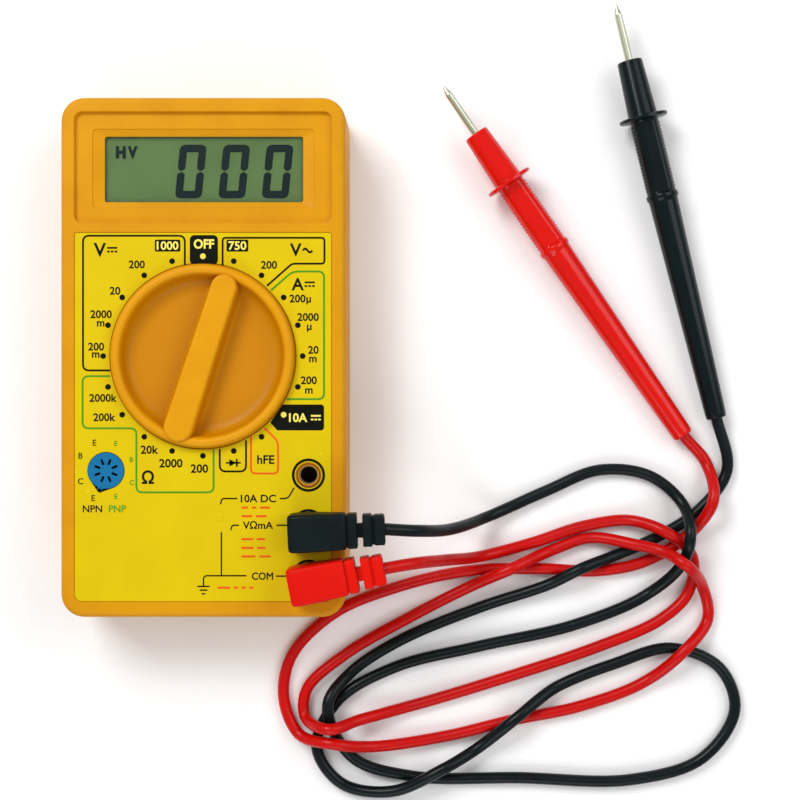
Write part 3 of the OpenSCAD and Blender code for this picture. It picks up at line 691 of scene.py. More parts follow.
@dataclass
class Case:
    """The front and rear halves of the amber case, and the label on its face."""

    corner_r: float = 6.0
    edge_r: float = 1.4
    inset: float = 0.3
    wall: float = 1.8
    face_t: float = 2.0
    bezel: tuple[float, float, float] = (62.6, 27.1, 46.25)
    bezel_depth: float = 1.2
    step: tuple[float, float, float] = (54.2, 19.2, 46.15)
    step_depth: float = 0.25
    slope: float = 0.75
    window: tuple[float, float, float] = (48.6, 16.1, 46.05)
    mouth_r: float = 2.35
    boss_r: float = 3.05
    screw_head_r: float = 2.8
    screw_recess_r: float = 3.1
    screw_recess: float = 6.0
    post_r: float = 4.0

    def __post_init__(self) -> None:
        """Reads the case's size from the frame."""
        low, high = (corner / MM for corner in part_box("front_case"))
        self.width, self.length = high.x - low.x, high.y - low.y
        self.top, self.joint = high.z, low.z
        low, high = (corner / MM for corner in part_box("front_label"))
        self.label_low, self.label_high = low, high
        low, high = (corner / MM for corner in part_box("case_screws"))
        self.screws = [(x, (low.y + high.y) / 2)
                       for x in (low.x + self.screw_head_r, high.x - self.screw_head_r)]

    def outer(self, inset: float) -> list[Point2]:
        """Outline of the case, drawn in by an amount."""
        return rounded(self.width - 2 * inset, self.length - 2 * inset, self.corner_r - inset)

    def inner(self, inset: float) -> list[Point2]:
        """Outline of the inside of the walls, drawn in by an amount."""
        return rounded(self.width - 2 * (self.wall + inset), self.length - 2 * (self.wall + inset),
                       self.corner_r - self.wall - inset)

    def soft_edge(self, inset: float, end: float, way: int) -> list[tuple[list[Point2], float]]:
        """Outlines and heights of the rounded edge of a half.

        Args:
            inset: How far the half's wall is drawn in.
            end: Height of its flat end.
            way: 1 where the half lies above that end, or -1 where it lies below.

        Returns:
            An outline and its height for each ring, from the wall to the flat end.
        """
        turns = [math.radians(15 * k) for k in range(7)]
        return [(self.outer(inset + self.edge_r * (1 - math.cos(a))),
                 end + way * self.edge_r * (1 - math.sin(a))) for a in turns]

    def frame_of(self, size: tuple[float, float, float], radius: float,
                 grow_by: float = 0.0) -> list[Point2]:
        """Outline of one step of the display's sunk frame, grown by an amount."""
        return rounded(size[0] + 2 * grow_by, size[1] + 2 * grow_by, radius + grow_by,
                       (0.0, size[2]), 6)

    def label_bed(self, grow_by: float) -> list[Point2]:
        """Outline of the shallow bed that the label lies in, grown by an amount."""
        low, high = self.label_low, self.label_high
        return rounded(high.x - low.x + 0.2 + 2 * grow_by, high.y - low.y + 0.2 + 2 * grow_by,
                       1.7 + grow_by, (0.0, (low.y + high.y) / 2), 6, 0.5 + grow_by)

    def build_label(self, knob: Knob, jacks: Sequence[Point2],
                    socket: Sequence[Point2]) -> bpy.types.Object:
        """Makes the label, a thin sheet with holes for the knob, the jacks and the socket.

        Args:
            knob: The knob.
            jacks: Middle of each jack.
            socket: Outline of the transistor socket's hole.

        Returns:
            The label.
        """
        m = MeshMaker()
        heights = (self.label_low.z, self.label_high.z)
        cuts = [circle(knob.radius + 0.3, knob.axis, 96), socket,
                *(circle(self.boss_r + 0.1, jack) for jack in jacks)]
        edge, *holes = [m.shaft(line, *heights) for line in (self.label_bed(-0.1), *cuts)]
        for k in range(2):
            m.plate(edge[k], [hole[k] for hole in holes])
        label = m.make("label", Look.LABEL)
        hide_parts("front_label")
        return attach(label, "meter")

    def build_front(self, knob: Knob, jacks: Sequence[Point2],
                    socket: Sequence[Point2]) -> bpy.types.Object:
        """Makes the front half, with every recess and hole.

        Args:
            knob: The knob, whose hole the plate has.
            jacks: Middle of each jack.
            socket: Outline of the transistor socket's hole.

        Returns:
            The front half.
        """
        m = MeshMaker()
        top, plate = self.top, self.top - self.face_t
        outside = m.stack([(self.outer(0.0), self.joint), *self.soft_edge(self.inset, top, -1)])
        bezel = self.sunk(m, self.bezel, 1.8, top, top - self.bezel_depth, 0.3)
        step_floor = top - self.bezel_depth - self.step_depth
        step = self.sunk(m, self.step, 1.0, top - self.bezel_depth, step_floor, 0.15)
        pad_z = step_floor - self.slope - 0.3
        window = m.shaft(self.frame_of(self.window, 0.6), step_floor - self.slope, pad_z)
        m.wall([step[-1], window[0]])
        bed_z, boss_top = self.label_low.z, self.label_high.z
        bed = m.stack([(self.label_bed(0.15), top), (self.label_bed(0.0), top - 0.15),
                       (self.label_bed(0.0), bed_z)])
        m.plate(outside[-1], [bezel[0], bed[0]])
        m.plate(bezel[-1], [step[0]])
        knob_hole = m.shaft(circle(knob.radius + 0.06, knob.axis, 96), bed_z, plate)
        socket_hole = m.shaft(socket, bed_z, plate)
        ease = 0.12
        bosses = [m.stack((circle(r, jack), z) for r, z in (
            (self.boss_r, bed_z), (self.boss_r, boss_top - ease), (self.boss_r - ease, boss_top),
            (self.mouth_r + ease, boss_top), (self.mouth_r, boss_top - ease),
            (self.mouth_r, plate))) for jack in jacks]
        m.plate(bed[-1], [knob_hole[0], socket_hole[0], *(boss[0] for boss in bosses)])
        pad = m.shaft(self.frame_of((self.bezel[0], self.bezel[1] + 1.6, self.bezel[2]), 1.8),
                      plate, pad_z)
        m.plate(pad[-1], [window[-1]])
        inside = m.stack([(self.inner(self.inset), plate), (self.inner(0.0), self.joint)])
        m.plate(inside[0], [pad[0], knob_hole[-1], socket_hole[-1],
                            *(boss[-1] for boss in bosses)])
        m.plate(outside[0], [inside[-1]])
        case = m.make("case_front", Look.AMBER)
        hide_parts("front_case")
        return case

    def sunk(self, m: MeshMaker, size: tuple[float, float, float], radius: float, high: float,
             low: float, ease: float) -> list[list[int]]:
        """Adds the wall of a sunk step, eased at its upper and lower edge.

        Args:
            m: Where the wall goes.
            size: Width, length and Y of the step.
            radius: Radius of its corners.
            high: Height of its upper edge.
            low: Height of its floor.
            ease: Size of the easing.

        Returns:
            Its rings, from the upper edge to the floor.
        """
        return m.stack((self.frame_of(size, radius, grow_by), z) for grow_by, z in (
            (ease, high), (ease * 0.3, high - ease * 0.3), (0.0, high - ease),
            (0.0, low + ease * 0.7), (-ease * 0.25, low + ease * 0.2), (-ease * 0.8, low)))

    def build_rear(self) -> bpy.types.Object:
        """Makes the rear half, a tray with two screw posts."""
        m = MeshMaker()
        mouth = self.joint - 0.05
        outside = m.stack([(self.outer(0.0), mouth), (self.outer(0.12), self.joint - 0.2),
                           (self.outer(0.12), self.joint - 0.5),
                           (self.outer(0.0), self.joint - 0.62), *self.soft_edge(0.0, 0.0, 1)])
        inside = m.shaft(self.inner(0.0), mouth, self.wall)
        m.plate(outside[0], [inside[0]])
        mouths, posts = [], []
        for screw in self.screws:
            recess = m.stack((circle(self.screw_recess_r + grow_by, screw, 40), z)
                             for grow_by, z in ((0.2, 0.0), (0.0, 0.2), (0.0, self.screw_recess)))
            m.plate(recess[-1])
            post = m.shaft(circle(self.post_r, screw, 40), self.wall, self.joint + 0.9)
            m.plate(post[-1])
            mouths.append(recess[0])
            posts.append(post[0])
        m.plate(outside[-1], mouths)
        m.plate(inside[-1], posts)
        case = m.make("case_rear", Look.AMBER)
        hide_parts("rear_cover")
        return case

    def build(self, knob: Knob, jacks: Sequence[Point2],
              socket: Sequence[Point2]) -> list[bpy.types.Object]:
        """Makes both halves and the label, on the meter's body."""
        halves = [self.build_front(knob, jacks, socket), self.build_rear()]
        for half in halves:
            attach(half, "meter")
        return [*halves, self.build_label(knob, jacks, socket)]


# ---- the knob ----


@dataclass
class Knob:
    """The selector knob: a dished disc with a rim and a grip bar across it."""

    radius: float = 22.5
    axis: Point2 = (0.0, 0.3)
    pointer_turn: float = -18.0
    disc_r: float = 24.5
    disc_low: float = 19.4
    floor_z: float = 22.4
    rim_z: float = 27.2
    bar_z: float = 28.0
    bar_w: float = 7.0

    def profile(self) -> list[Point2]:
        """Half section of the disc and its rim, from the middle of the back to the dish."""
        r, top, floor = self.radius, self.rim_z, self.floor_z
        return [(0.4, self.disc_low), (self.disc_r, self.disc_low), (self.disc_r, floor),
                (r, floor), (r, 24.75), (r - 0.05, 24.9), (r - 0.2, top - 1.1),
                (r - 0.42, top - 0.55), (r - 0.8, top - 0.18), (r - 1.3, top),
                (r - 1.9, top - 0.04), (r - 2.3, top - 0.25), (r - 2.62, top - 0.7),
                (r - 2.85, top - 1.5), (r - 3.1, top - 2.5), (r - 3.5, floor + 1.35),
                (r - 4.1, floor + 0.65), (r - 5.0, floor + 0.22), (r - 6.2, floor + 0.04),
                (r - 7.5, floor), (0.4, floor)]

    def bar_outline(self, grow_by: float) -> list[Point2]:
        """Outline of the grip bar, narrower at its pointer end, grown by an amount."""
        points = []
        for sign, start in ((1, 0), (-1, 180)):
            end_r = self.bar_w / 2 - sign * 0.2
            mid = sign * (self.radius - 1.2 - self.bar_w / 2) - 0.4
            for k in range(13):
                a = math.radians(start + 15 * k)
                points.append(((end_r + grow_by) * math.cos(a),
                               mid + (end_r + grow_by) * math.sin(a)))
        return points

    def build(self) -> bpy.types.Object:
        """Makes the knob, turned to its rest position, on the selector's body."""
        m = MeshMaker()
        revolve(m, self.profile(), 120)
        top = self.bar_z
        m.close(m.stack((self.bar_outline(grow_by), z) for grow_by, z in (
            (1.3, self.floor_z - 0.4), (1.2, self.floor_z + 0.05), (0.75, self.floor_z + 0.3),
            (0.42, self.floor_z + 0.8), (0.25, self.floor_z + 1.6), (-0.1, top - 1.0),
            (-0.17, top - 0.55), (-0.32, top - 0.25), (-0.58, top - 0.07), (-0.9, top))))
        place = (Matrix.Translation((*self.axis, 0.0))
                 @ Matrix.Rotation(math.radians(self.pointer_turn), 4, "Z"))
        knob = m.make("knob", Look.KNOB, place)
        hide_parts("selector_knob")
        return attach(knob, "selector")


# ---- print on the label and the display ----


class Ink:
    """One colour of print: flat letters, lines and shapes on one surface."""

    def __init__(self, name: str, look: Look, z: float) -> None:
        """Starts a colour.

        Args:
            name: Name of the piece.
            look: Finish of the ink.
            z: Height of the surface that it lies on.
        """
        self.name, self.look = name, look
        self.low, self.high = z, z + PRINT_T
        self.maker = MeshMaker()

    def text(self, words: str, x: float, y: float, cap: float, bold: float = 0.0,
             width: float | None = None) -> None:
        """Prints words.

        Args:
            words: What they say.
            x: Middle of the words.
            y: Middle of the height of a capital.
            cap: Height of a capital.
            bold: How far each stroke grows, as a share of the capital.
            width: Width that the words are drawn to, or None for their own.
        """
        size = cap / cap_share()
        mesh = letters(words, size, bold * cap)
        across = [v.co.x for v in mesh.vertices]
        mid = (min(across) + max(across)) / 2
        squeeze = width / (max(across) - min(across)) if width else 1.0
        place = (Matrix.Translation((x, y - cap / 2, (self.low + self.high) / 2))
                 @ Matrix.Diagonal((squeeze, 1.0, 1.0, 1.0)) @ Matrix.Translation((-mid, 0, 0)))
        self.maker.take(mesh, place)

    def line(self, points: Sequence[Point2], width: float = 0.46, radius: float = 1.5) -> None:
        """Prints a line with rounded corners."""
        self.maker.ribbon(filleted(points, radius) if radius else points, width, self.low,
                          self.high)

    def shape(self, outline: Sequence[Point2]) -> None:
        """Prints a filled outline."""
        self.maker.prism(outline, self.low, self.high)

    def hoop(self, mid: Point2, outer: float, inner: float) -> None:
        """Prints a ring."""
        self.maker.tube_ring(circle(outer, mid), circle(inner, mid), self.low, self.high)

    def bars(self, x: float, y: float, width: float, wave: bool = False) -> None:
        """Prints the sign for direct voltage, or a wave for alternating voltage."""
        if wave:
            steps = [(x - width / 2 + width * k / 14, y + width * 0.2 * math.sin(math.tau * k / 14))
                     for k in range(15)]
            self.line(steps, 0.5, 0.0)
            return
        self.line([(x - width / 2, y + 0.45), (x + width / 2, y + 0.45)], 0.42, 0.0)
        for k in (-1, 0, 1):
            self.line([(x + k * width * 0.37 - width * 0.13, y - 0.45),
                       (x + k * width * 0.37 + width * 0.13, y - 0.45)], 0.42, 0.0)

    def build(self, slot: str) -> bpy.types.Object:
        """Makes the print as one piece on the meter's body."""
        piece = self.maker.make(self.name, self.look)
        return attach(piece, "meter")


@dataclass
class DialPrint:
    """Everything printed on the label round the knob, the jacks and the socket."""

    axis: Point2
    surface: float
    dots_r: float = 24.3
    dot_r: float = 0.7
    positions: int = 20
    ten_amp_step: int = 7

    def __post_init__(self) -> None:
        """Starts the four inks, with the light one over the dark tags."""
        self.black = Ink("print_black", Look.BLACK_INK, self.surface)
        self.green = Ink("print_green", Look.GREEN_INK, self.surface)
        self.orange = Ink("print_orange", Look.ORANGE_INK, self.surface)
        self.light = Ink("print_light", Look.YELLOW_INK, self.surface + PRINT_T)

    def ranges(self) -> None:
        """Prints the numbers of the measuring ranges and their letters."""
        cap = 1.8
        for words, x, y, size in (
                ("200", -16.1, 22.6, cap), ("20", -21.4, 16.2, cap), ("2000", -24.8, 10.5, cap),
                ("m", -24.9, 8.45, cap), ("200", -26.0, 2.6, cap), ("m", -26.1, 0.85, cap),
                ("200", 16.1, 22.5, cap), ("200µ", 23.7, 14.3, cap), ("2000", 25.6, 9.8, cap),
                ("µ", 25.9, 7.6, cap), ("20", 26.9, 1.8, cap), ("m", 26.8, -0.25, cap),
                ("200", 25.8, -5.6, cap), ("m", 25.8, -7.9, cap), ("2000k", -24.3, -9.9, cap),
                ("200k", -24.0, -14.6, cap), ("20k", -13.0, -22.5, 1.9),
                ("2000", -7.8, -25.8, 1.95), ("200", -0.85, -27.1, 1.95), ("hFE", 15.3, -24.9, 2.0),
                ("V", -25.1, 26.2, 3.1), ("V", 22.6, 26.2, 2.9), ("A", 23.1, 17.8, 2.8),
                ("Ω", -13.4, -29.3, 2.9)):
            self.black.text(words, x, y, size, 0.035)
        self.black.bars(-22.1, 26.2, 2.5)
        self.black.bars(26.0, 17.8, 2.5)
        self.black.bars(25.5, 26.0, 2.3, wave=True)

    def tags(self) -> None:
        """Prints the dark tags with light words in them."""
        self.black.shape(rounded(6.2, 2.9, 0.3, (-8.6, 27.2), 2))
        self.black.shape(rounded(5.3, 2.9, 0.3, (8.4, 27.2), 2))
        self.black.shape(rounded(6.85, 7.15, 1.1, (0.23, 26.18), 4))
        self.black.shape([(16.4, -15.9), (18.1, -17.8), (29.0, -17.8), (29.5, -17.3),
                          (29.5, -12.0), (29.0, -11.5), (19.5, -11.5)])
        self.light.text("1000", -8.6, 27.2, 1.95, 0.035, 5.3)
        self.light.text("750", 8.4, 27.2, 1.95, 0.035, 4.4)
        self.light.text("OFF", 0.25, 27.6, 2.1, 0.05, 5.0)
        self.light.text("10A", 23.2, -14.7, 2.0, 0.035)
        self.light.bars(27.5, -14.7, 2.4)

    def fields(self) -> None:
        """Prints the lines round the groups of ranges."""
        self.black.line([(-4.4, 22.3), (-4.4, 29.6), (-29.2, 29.6), (-29.2, -3.2),
                         (-22.6, -3.2)])
        self.black.line([(4.8, 22.3), (4.8, 29.1), (29.6, 29.1), (29.6, 22.8), (21.7, 22.8),
                         (15.6, 17.4)], radius=0.8)
        self.green.line([(16.6, 16.3), (21.8, 20.9), (29.5, 20.9), (29.5, -10.2), (20.4, -10.2)])
        self.green.line([(-22.6, -4.6), (-29.3, -4.6), (-29.3, -17.3), (-16.2, -17.3),
                         (-16.2, -32.9), (2.6, -32.9), (2.6, -22.4)])
        self.black.line([(4.1, -22.3), (4.1, -27.8), (10.5, -27.8), (10.5, -20.2)])
        self.orange.line([(15.0, -17.2), (18.3, -20.5), (18.3, -28.3), (11.7, -28.3),
                          (11.7, -19.4)], radius=1.2)

    def diode(self, x: float, y: float) -> None:
        """Prints the diode sign."""
        self.black.line([(x - 1.8, y), (x + 1.8, y)], 0.4, 0.0)
        self.black.shape([(x - 0.95, y - 0.9), (x + 0.75, y), (x - 0.95, y + 0.9)])
        self.black.line([(x + 0.85, y - 0.95), (x + 0.85, y + 0.95)], 0.42, 0.0)

    def jacks(self, mids: Sequence[Point2]) -> None:
        """Prints the rings round the jacks, their names and the lines between them."""
        ink = Ink("print_jack_rings", Look.MAROON_INK, self.surface)
        for mid in mids:
            self.black.hoop(mid, 4.05, 3.4)
            ink.hoop(mid, 2.9, 2.62)
        ink.build("label_print")
        for words, x, y, cap, width in (("10A DC", 13.5, -34.4, 1.75, 8.6),
                                        ("VΩmA", 13.4, -40.9, 1.7, 7.4),
                                        ("COM", 14.5, -53.3, 1.7, 5.2)):
            self.black.text(words, x, y, cap, 0.03, width)
        for line in ([(4.3, -35.8), (4.6, -34.4), (8.4, -34.4)],
                     [(18.7, -34.4), (20.7, -34.4), (22.2, -31.8)],
                     [(6.8, -42.1), (7.1, -40.9), (8.8, -40.9)], [(17.9, -40.9), (20.9, -40.9)],
                     [(4.5, -42.6), (4.5, -53.2)], [(17.8, -53.3), (20.2, -53.3)],
                     [(10.6, -53.2), (0.15, -53.2), (0.15, -55.8)]):
            self.black.line(line, 0.34, 0.9)
        for k, half in enumerate((1.5, 0.95, 0.45)):
            self.black.line([(0.15 - half, -55.8 - 0.9 * k), (0.15 + half, -55.8 - 0.9 * k)],
                            0.34, 0.0)

    def socket(self, tab: Point2) -> None:
        """Prints the letters of the legs round the transistor socket, and its dot."""
        for words, x, y in (("E", -26.4, -20.8), ("B", -29.8, -24.0), ("C", -29.8, -30.2),
                            ("E", -26.7, -34.3)):
            self.black.text(words, x, y, 1.4, 0.02)
        for words, x, y in (("E", -21.2, -21.0), ("B", -17.4, -24.9), ("C", -17.3, -30.5),
                            ("E", -21.2, -33.9)):
            self.green.text(words, x, y, 1.15, 0.035)
        self.black.text("NPN", -26.9, -36.9, 1.65, 0.025)
        self.green.text("PNP", -20.8, -36.9, 1.65, 0.025)
        dot = Ink("socket_dot", Look.BLACK_INK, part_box("transistor_socket")[1].z / MM)
        dot.shape(circle(0.48, tab, 20))
        dot.build("label_print")

    def dots(self) -> None:
        """Sets the dots of the switch positions, light ones on the dark tags."""
        piece = grow("dial_dots", dial_dots_tree(), {
            "Count": self.positions, "Dial Radius": self.dots_r * MM,
            "Dot Radius": self.dot_r * MM, "Thickness": PRINT_T * MM,
            "First Turn": (0.0, 0.0, math.pi / 2),
            "Place": Vector((*self.axis, self.surface + PRINT_T / 2)) * MM,
            "Finish": material_of(Look.BLACK_INK)})
        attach(piece, "meter")
        for step in (0, self.ten_amp_step):
            a = math.radians(90 - step * 360 / self.positions)
            spot = (self.axis[0] + self.dots_r * math.cos(a),
                    self.axis[1] + self.dots_r * math.sin(a))
            self.light.shape(circle(self.dot_r, spot, 20))

    def fine_print(self) -> None:
        """Prints rows of plain dashes where small print stands beside the jacks."""
        for x, y, dashes in ((9.4, -36.6, (1.6, 1.1, 2.4)), (9.4, -38.7, (2.6, 2.6)),
                             (9.4, -44.3, (2.8, 2.0)), (9.4, -46.4, (2.9, 2.0)),
                             (9.4, -48.5, (3.4, 2.8)), (3.6, -56.1, (3.0, 1.0, 1.0, 1.0))):
            start = x
            for length in dashes:
                self.orange.line([(start, y), (start + length, y)], 0.5, 0.0)
                start += length + 0.9

    def build(self, jacks: Sequence[Point2], tab: Point2) -> None:
        """Prints everything."""
        self.fine_print()
        self.ranges()
        self.tags()
        self.fields()
        self.diode(7.4, -25.7)
        self.jacks(jacks)
        self.socket(tab)
        self.dots()
        for ink in (self.black, self.green, self.orange, self.light):
            ink.build("label_print")


@dataclass
class Display:
    """The digits that the liquid crystal panel shows."""

    digit_w: float = 6.6
    digit_h: float = 13.2
    stroke: float = 1.88
    lean: float = 1.3
    first_x: float = -6.0
    pitch: float = 10.65
    base_y: float = 39.1
    count: int = 3

    def half_digit(self, x: float, upper: bool) -> list[Point2]:
        """Outline of one half of a nought, as its joined segments.

        Args:
            x: Left edge of the digit at its top.
            upper: True for the half above the middle.

        Returns:
            The outline, leaning as the digits do.
        """
        w, h, t, gap = self.digit_w, self.digit_h / 2, self.stroke, 0.17
        cut = 1.2
        outline = [(0.0, t * 0.3 + gap), (0.0, h - cut), (cut * 0.3, h - cut * 0.32), (cut, h),
                   (w - cut, h), (w - cut * 0.3, h - cut * 0.32), (w, h - cut),
                   (w, t * 0.3 + gap), (w - t * 0.35, gap), (w - t * 0.65, gap),
                   (w - t, t * 0.3 + gap), (w - t, h - t), (t, h - t), (t, t * 0.3 + gap),
                   (t * 0.65, gap), (t * 0.35, gap)]
        points = []
        for px, py in outline:
            y = h + py if upper else h - py
            points.append((x + px - self.lean * (1 - y / self.digit_h), self.base_y + y))
        return points

    def build(self) -> bpy.types.Object:
        """Makes the digits and the high voltage sign on the panel's face."""
        ink = Ink("lcd_digits", Look.DIGITS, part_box("lcd_panel")[1].z / MM)
        for k in range(self.count):
            for upper in (True, False):
                ink.shape(self.half_digit(self.first_x + k * self.pitch, upper))
        for letter, x in (("H", -20.55), ("V", -17.65)):
            ink.text(letter, x, 50.4, 2.5, 0.11, 2.5)
        return ink.build("display_glass")


# ---- the test leads ----


class Side(Enum):
    """The two leads."""

    BLACK = "black"
    RED = "red"


# Points of each cord's route in millimetres; one with no height lies on the floor.
BLACK_ROUTE = [
    (44.1, -41.3, 31), (52.5, -42, 27.5), (61, -42.5, 16), (71.5, -40, 3.5), (85.5, -34),
    (99.5, -28.5), (112.5, -30), (120.5, -37, 4), (121.5, -44.5, 10), (120, -52, 7), (112, -60.5),
    (93, -68.5), (68.5, -74), (46.5, -79.5), (32, -88), (26.5, -100), (33, -109.5),
    (46, -111, 3.5), (58.5, -105, 6), (68, -100, 3), (77.5, -92, 5.5), (88.5, -84.5),
    (103.5, -78.5), (118, -74.5), (130.5, -79.5), (134.5, -90.5), (126, -103), (107.5, -108.5),
    (79, -108), (50.5, -107.5), (35.5, -102.5), (29.5, -88.5, 5.5), (35, -81, 2), (48, -72.5),
    (68.5, -64), (86, -58, 3), (94.5, -53.5, 5.5), (103.5, -50.5, 2), (114, -46), (125, -39),
    (132.5, -28.5)]
RED_ROUTE = [
    (43.8, -50.8, 31), (51.6, -49.8, 28), (59.5, -50.2, 16.5), (69, -50.5, 4), (81.5, -47.5),
    (95.5, -43), (107.5, -41.5, 2), (116.5, -44.5, 6.5), (123, -50.5, 4), (122.5, -60),
    (115.5, -67), (99.5, -74), (74, -82.5), (50.5, -89.5), (37.5, -92.5, 4.5), (30, -94, 9),
    (23.5, -92, 2), (24, -85), (34, -76), (50.5, -66.5), (66, -58.5, 2.5), (76.5, -53.5, 6),
    (86.5, -49.5), (97, -46), (108.5, -47.5, 5), (115, -49, 7), (120, -52, 12), (125.5, -58, 4.5),
    (127.5, -67), (121, -74.5, 5), (111.5, -83), (94.5, -89.5), (77.5, -93), (58.5, -97.5),
    (41, -99.5, 3.5), (31, -98, 7.5), (22, -96.5, 2.5), (18, -87.5), (20, -76.5), (31, -65.5),
    (48, -58.5), (66, -54.5), (84, -54), (99.5, -54.5), (111.5, -52), (122.5, -45, 2.5),
    (128, -36, 6.5), (127, -26.5)]


def smooth_path(points: Sequence[Vector], step: float) -> list[Vector]:
    """Follows points with a centripetal Catmull-Rom curve.

    Args:
        points: Points of the route.
        step: Rough distance between the points that come back.

    Returns:
        Points along the curve, the first and last of the route among them.
    """
    ends = [points[0] * 2 - points[1], *points, points[-1] * 2 - points[-2]]
    path: list[Vector] = []
    for a, b, c, d in zip(ends, ends[1:], ends[2:], ends[3:]):
        t1 = (b - a).length ** 0.5
        t2 = t1 + (c - b).length ** 0.5
        t3 = t2 + (d - c).length ** 0.5
        count = max(2, round((c - b).length / step))
        for k in range(count):
            t = t1 + (t2 - t1) * k / count
            p = a.lerp(b, t / t1)
            q = b.lerp(c, (t - t1) / (t2 - t1))
            r = c.lerp(d, (t - t2) / (t3 - t2))
            path.append(p.lerp(q, t / t2).lerp(q.lerp(r, (t - t1) / (t3 - t1)),
                                               (t - t1) / (t2 - t1)))
    return [*path, points[-1]]


def sweep(maker: MeshMaker, path: Sequence[Vector], radius: float, count: int = 14) -> None:
    """Sweeps a round section along a path without a twist.

    Args:
        maker: Where the tube goes.
        path: Middle of the tube.
        radius: Radius of the tube.
        count: Points round it.
    """
    rings = []
    across = Vector((0.0, 0.0, 1.0))
    for k, here in enumerate(path):
        along = (path[min(k + 1, len(path) - 1)] - path[max(k - 1, 0)]).normalized()
        across = (across - along * across.dot(along)).normalized()
        other = along.cross(across)
        rings.append(maker.loop([here + across * (radius * math.cos(math.tau * i / count))
                                 + other * (radius * math.sin(math.tau * i / count))
                                 for i in range(count)]))
    maker.wall(rings)
    maker.faces += [tuple(rings[0]), tuple(rings[-1])]


@dataclass
class Plug:
    """A right-angled plug: a moulded block and a notched strain relief."""

    axis_z: float = 31.0
    shift: float = -1.1

    def stations(self) -> list[tuple[float, float, float, float, float]]:
        """Sections from the block's end to the cord: X, half width, low, high, corner."""
        mid = self.axis_z
        block = [(-4.48, 3.6, 26.6, 34.2, 1.0), (-4.4, 4.05, 26.1, 34.75, 1.0),
                 (-4.1, 4.35, 25.7, 35.15, 1.0), (-3.6, 4.5, 25.4, 35.4, 0.95),
                 (-2.6, 4.54, 25.0, 35.6, 0.9), (0.0, 4.52, 24.85, 35.75, 0.9),
                 (3.0, 4.46, 24.95, 35.7, 0.9), (4.6, 4.42, 25.6, 35.55, 0.85),
                 (6.6, 4.36, 26.5, 35.3, 0.8), (8.8, 4.3, 26.9, 35.05, 0.8),
                 (9.15, 4.25, 27.0, 34.95, 0.8), (9.3, 4.1, 27.1, 34.85, 0.8)]
        relief = []
        for start, end, half_w, half_h in ((9.8, 12.0, 4.1, 3.95), (13.4, 15.55, 3.8, 3.6),
                                           (16.15, 18.55, 3.6, 3.45)):
            for x, ease in ((start, 0.15), (start + 0.15, 0.0), (end - 0.15, 0.0), (end, 0.15)):
                relief.append((x, half_w - ease, mid - half_h + ease, mid + half_h - ease, 0.7))
        waists = [[(x, 3.85, mid - 3.3, mid + 3.3, 0.7) for x in (9.35, 9.75)],
                  [(x, 1.68, mid - 2.2, mid + 2.2, 0.7) for x in (12.05, 13.35)],
                  [(x, 3.4, mid - 2.9, mid + 2.9, 0.7) for x in (15.6, 16.1)]]
        return [*block, *waists[0], *relief[:4], *waists[1], *relief[4:8], *waists[2],
                *relief[8:], (18.7, 3.0, mid - 2.8, mid + 2.8, 0.7)]

    def build(self, side: Side, jack: Point2, turn: float) -> bpy.types.Object:
        """Makes the moulding of one plug in its jack.

        Args:
            side: Which lead it is on.
            jack: Middle of the jack.
            turn: Turn of the plug from +X in degrees.

        Returns:
            The moulding, on the plug's own body.
        """
        m = MeshMaker()
        rings = []
        for x, half, low, high, corner in self.stations():
            section = rounded(2 * half, high - low, corner, (0.0, (low + high) / 2), 4)
            rings.append(m.loop([(x, y + self.shift, z) for y, z in section]))
        m.wall(rings)
        m.close(rings)
        place = (Matrix.Translation((*jack, 0.0))
                 @ Matrix.Rotation(math.radians(turn), 4, "Z"))
        look = Look.PLUG_BLACK if side is Side.BLACK else Look.PLUG_RED
        body = m.make(f"{side.value}_plug", look, place, 30.0)
        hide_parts(f"{side.value}_plug_body")
        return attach(body, f"{side.value}_plug")


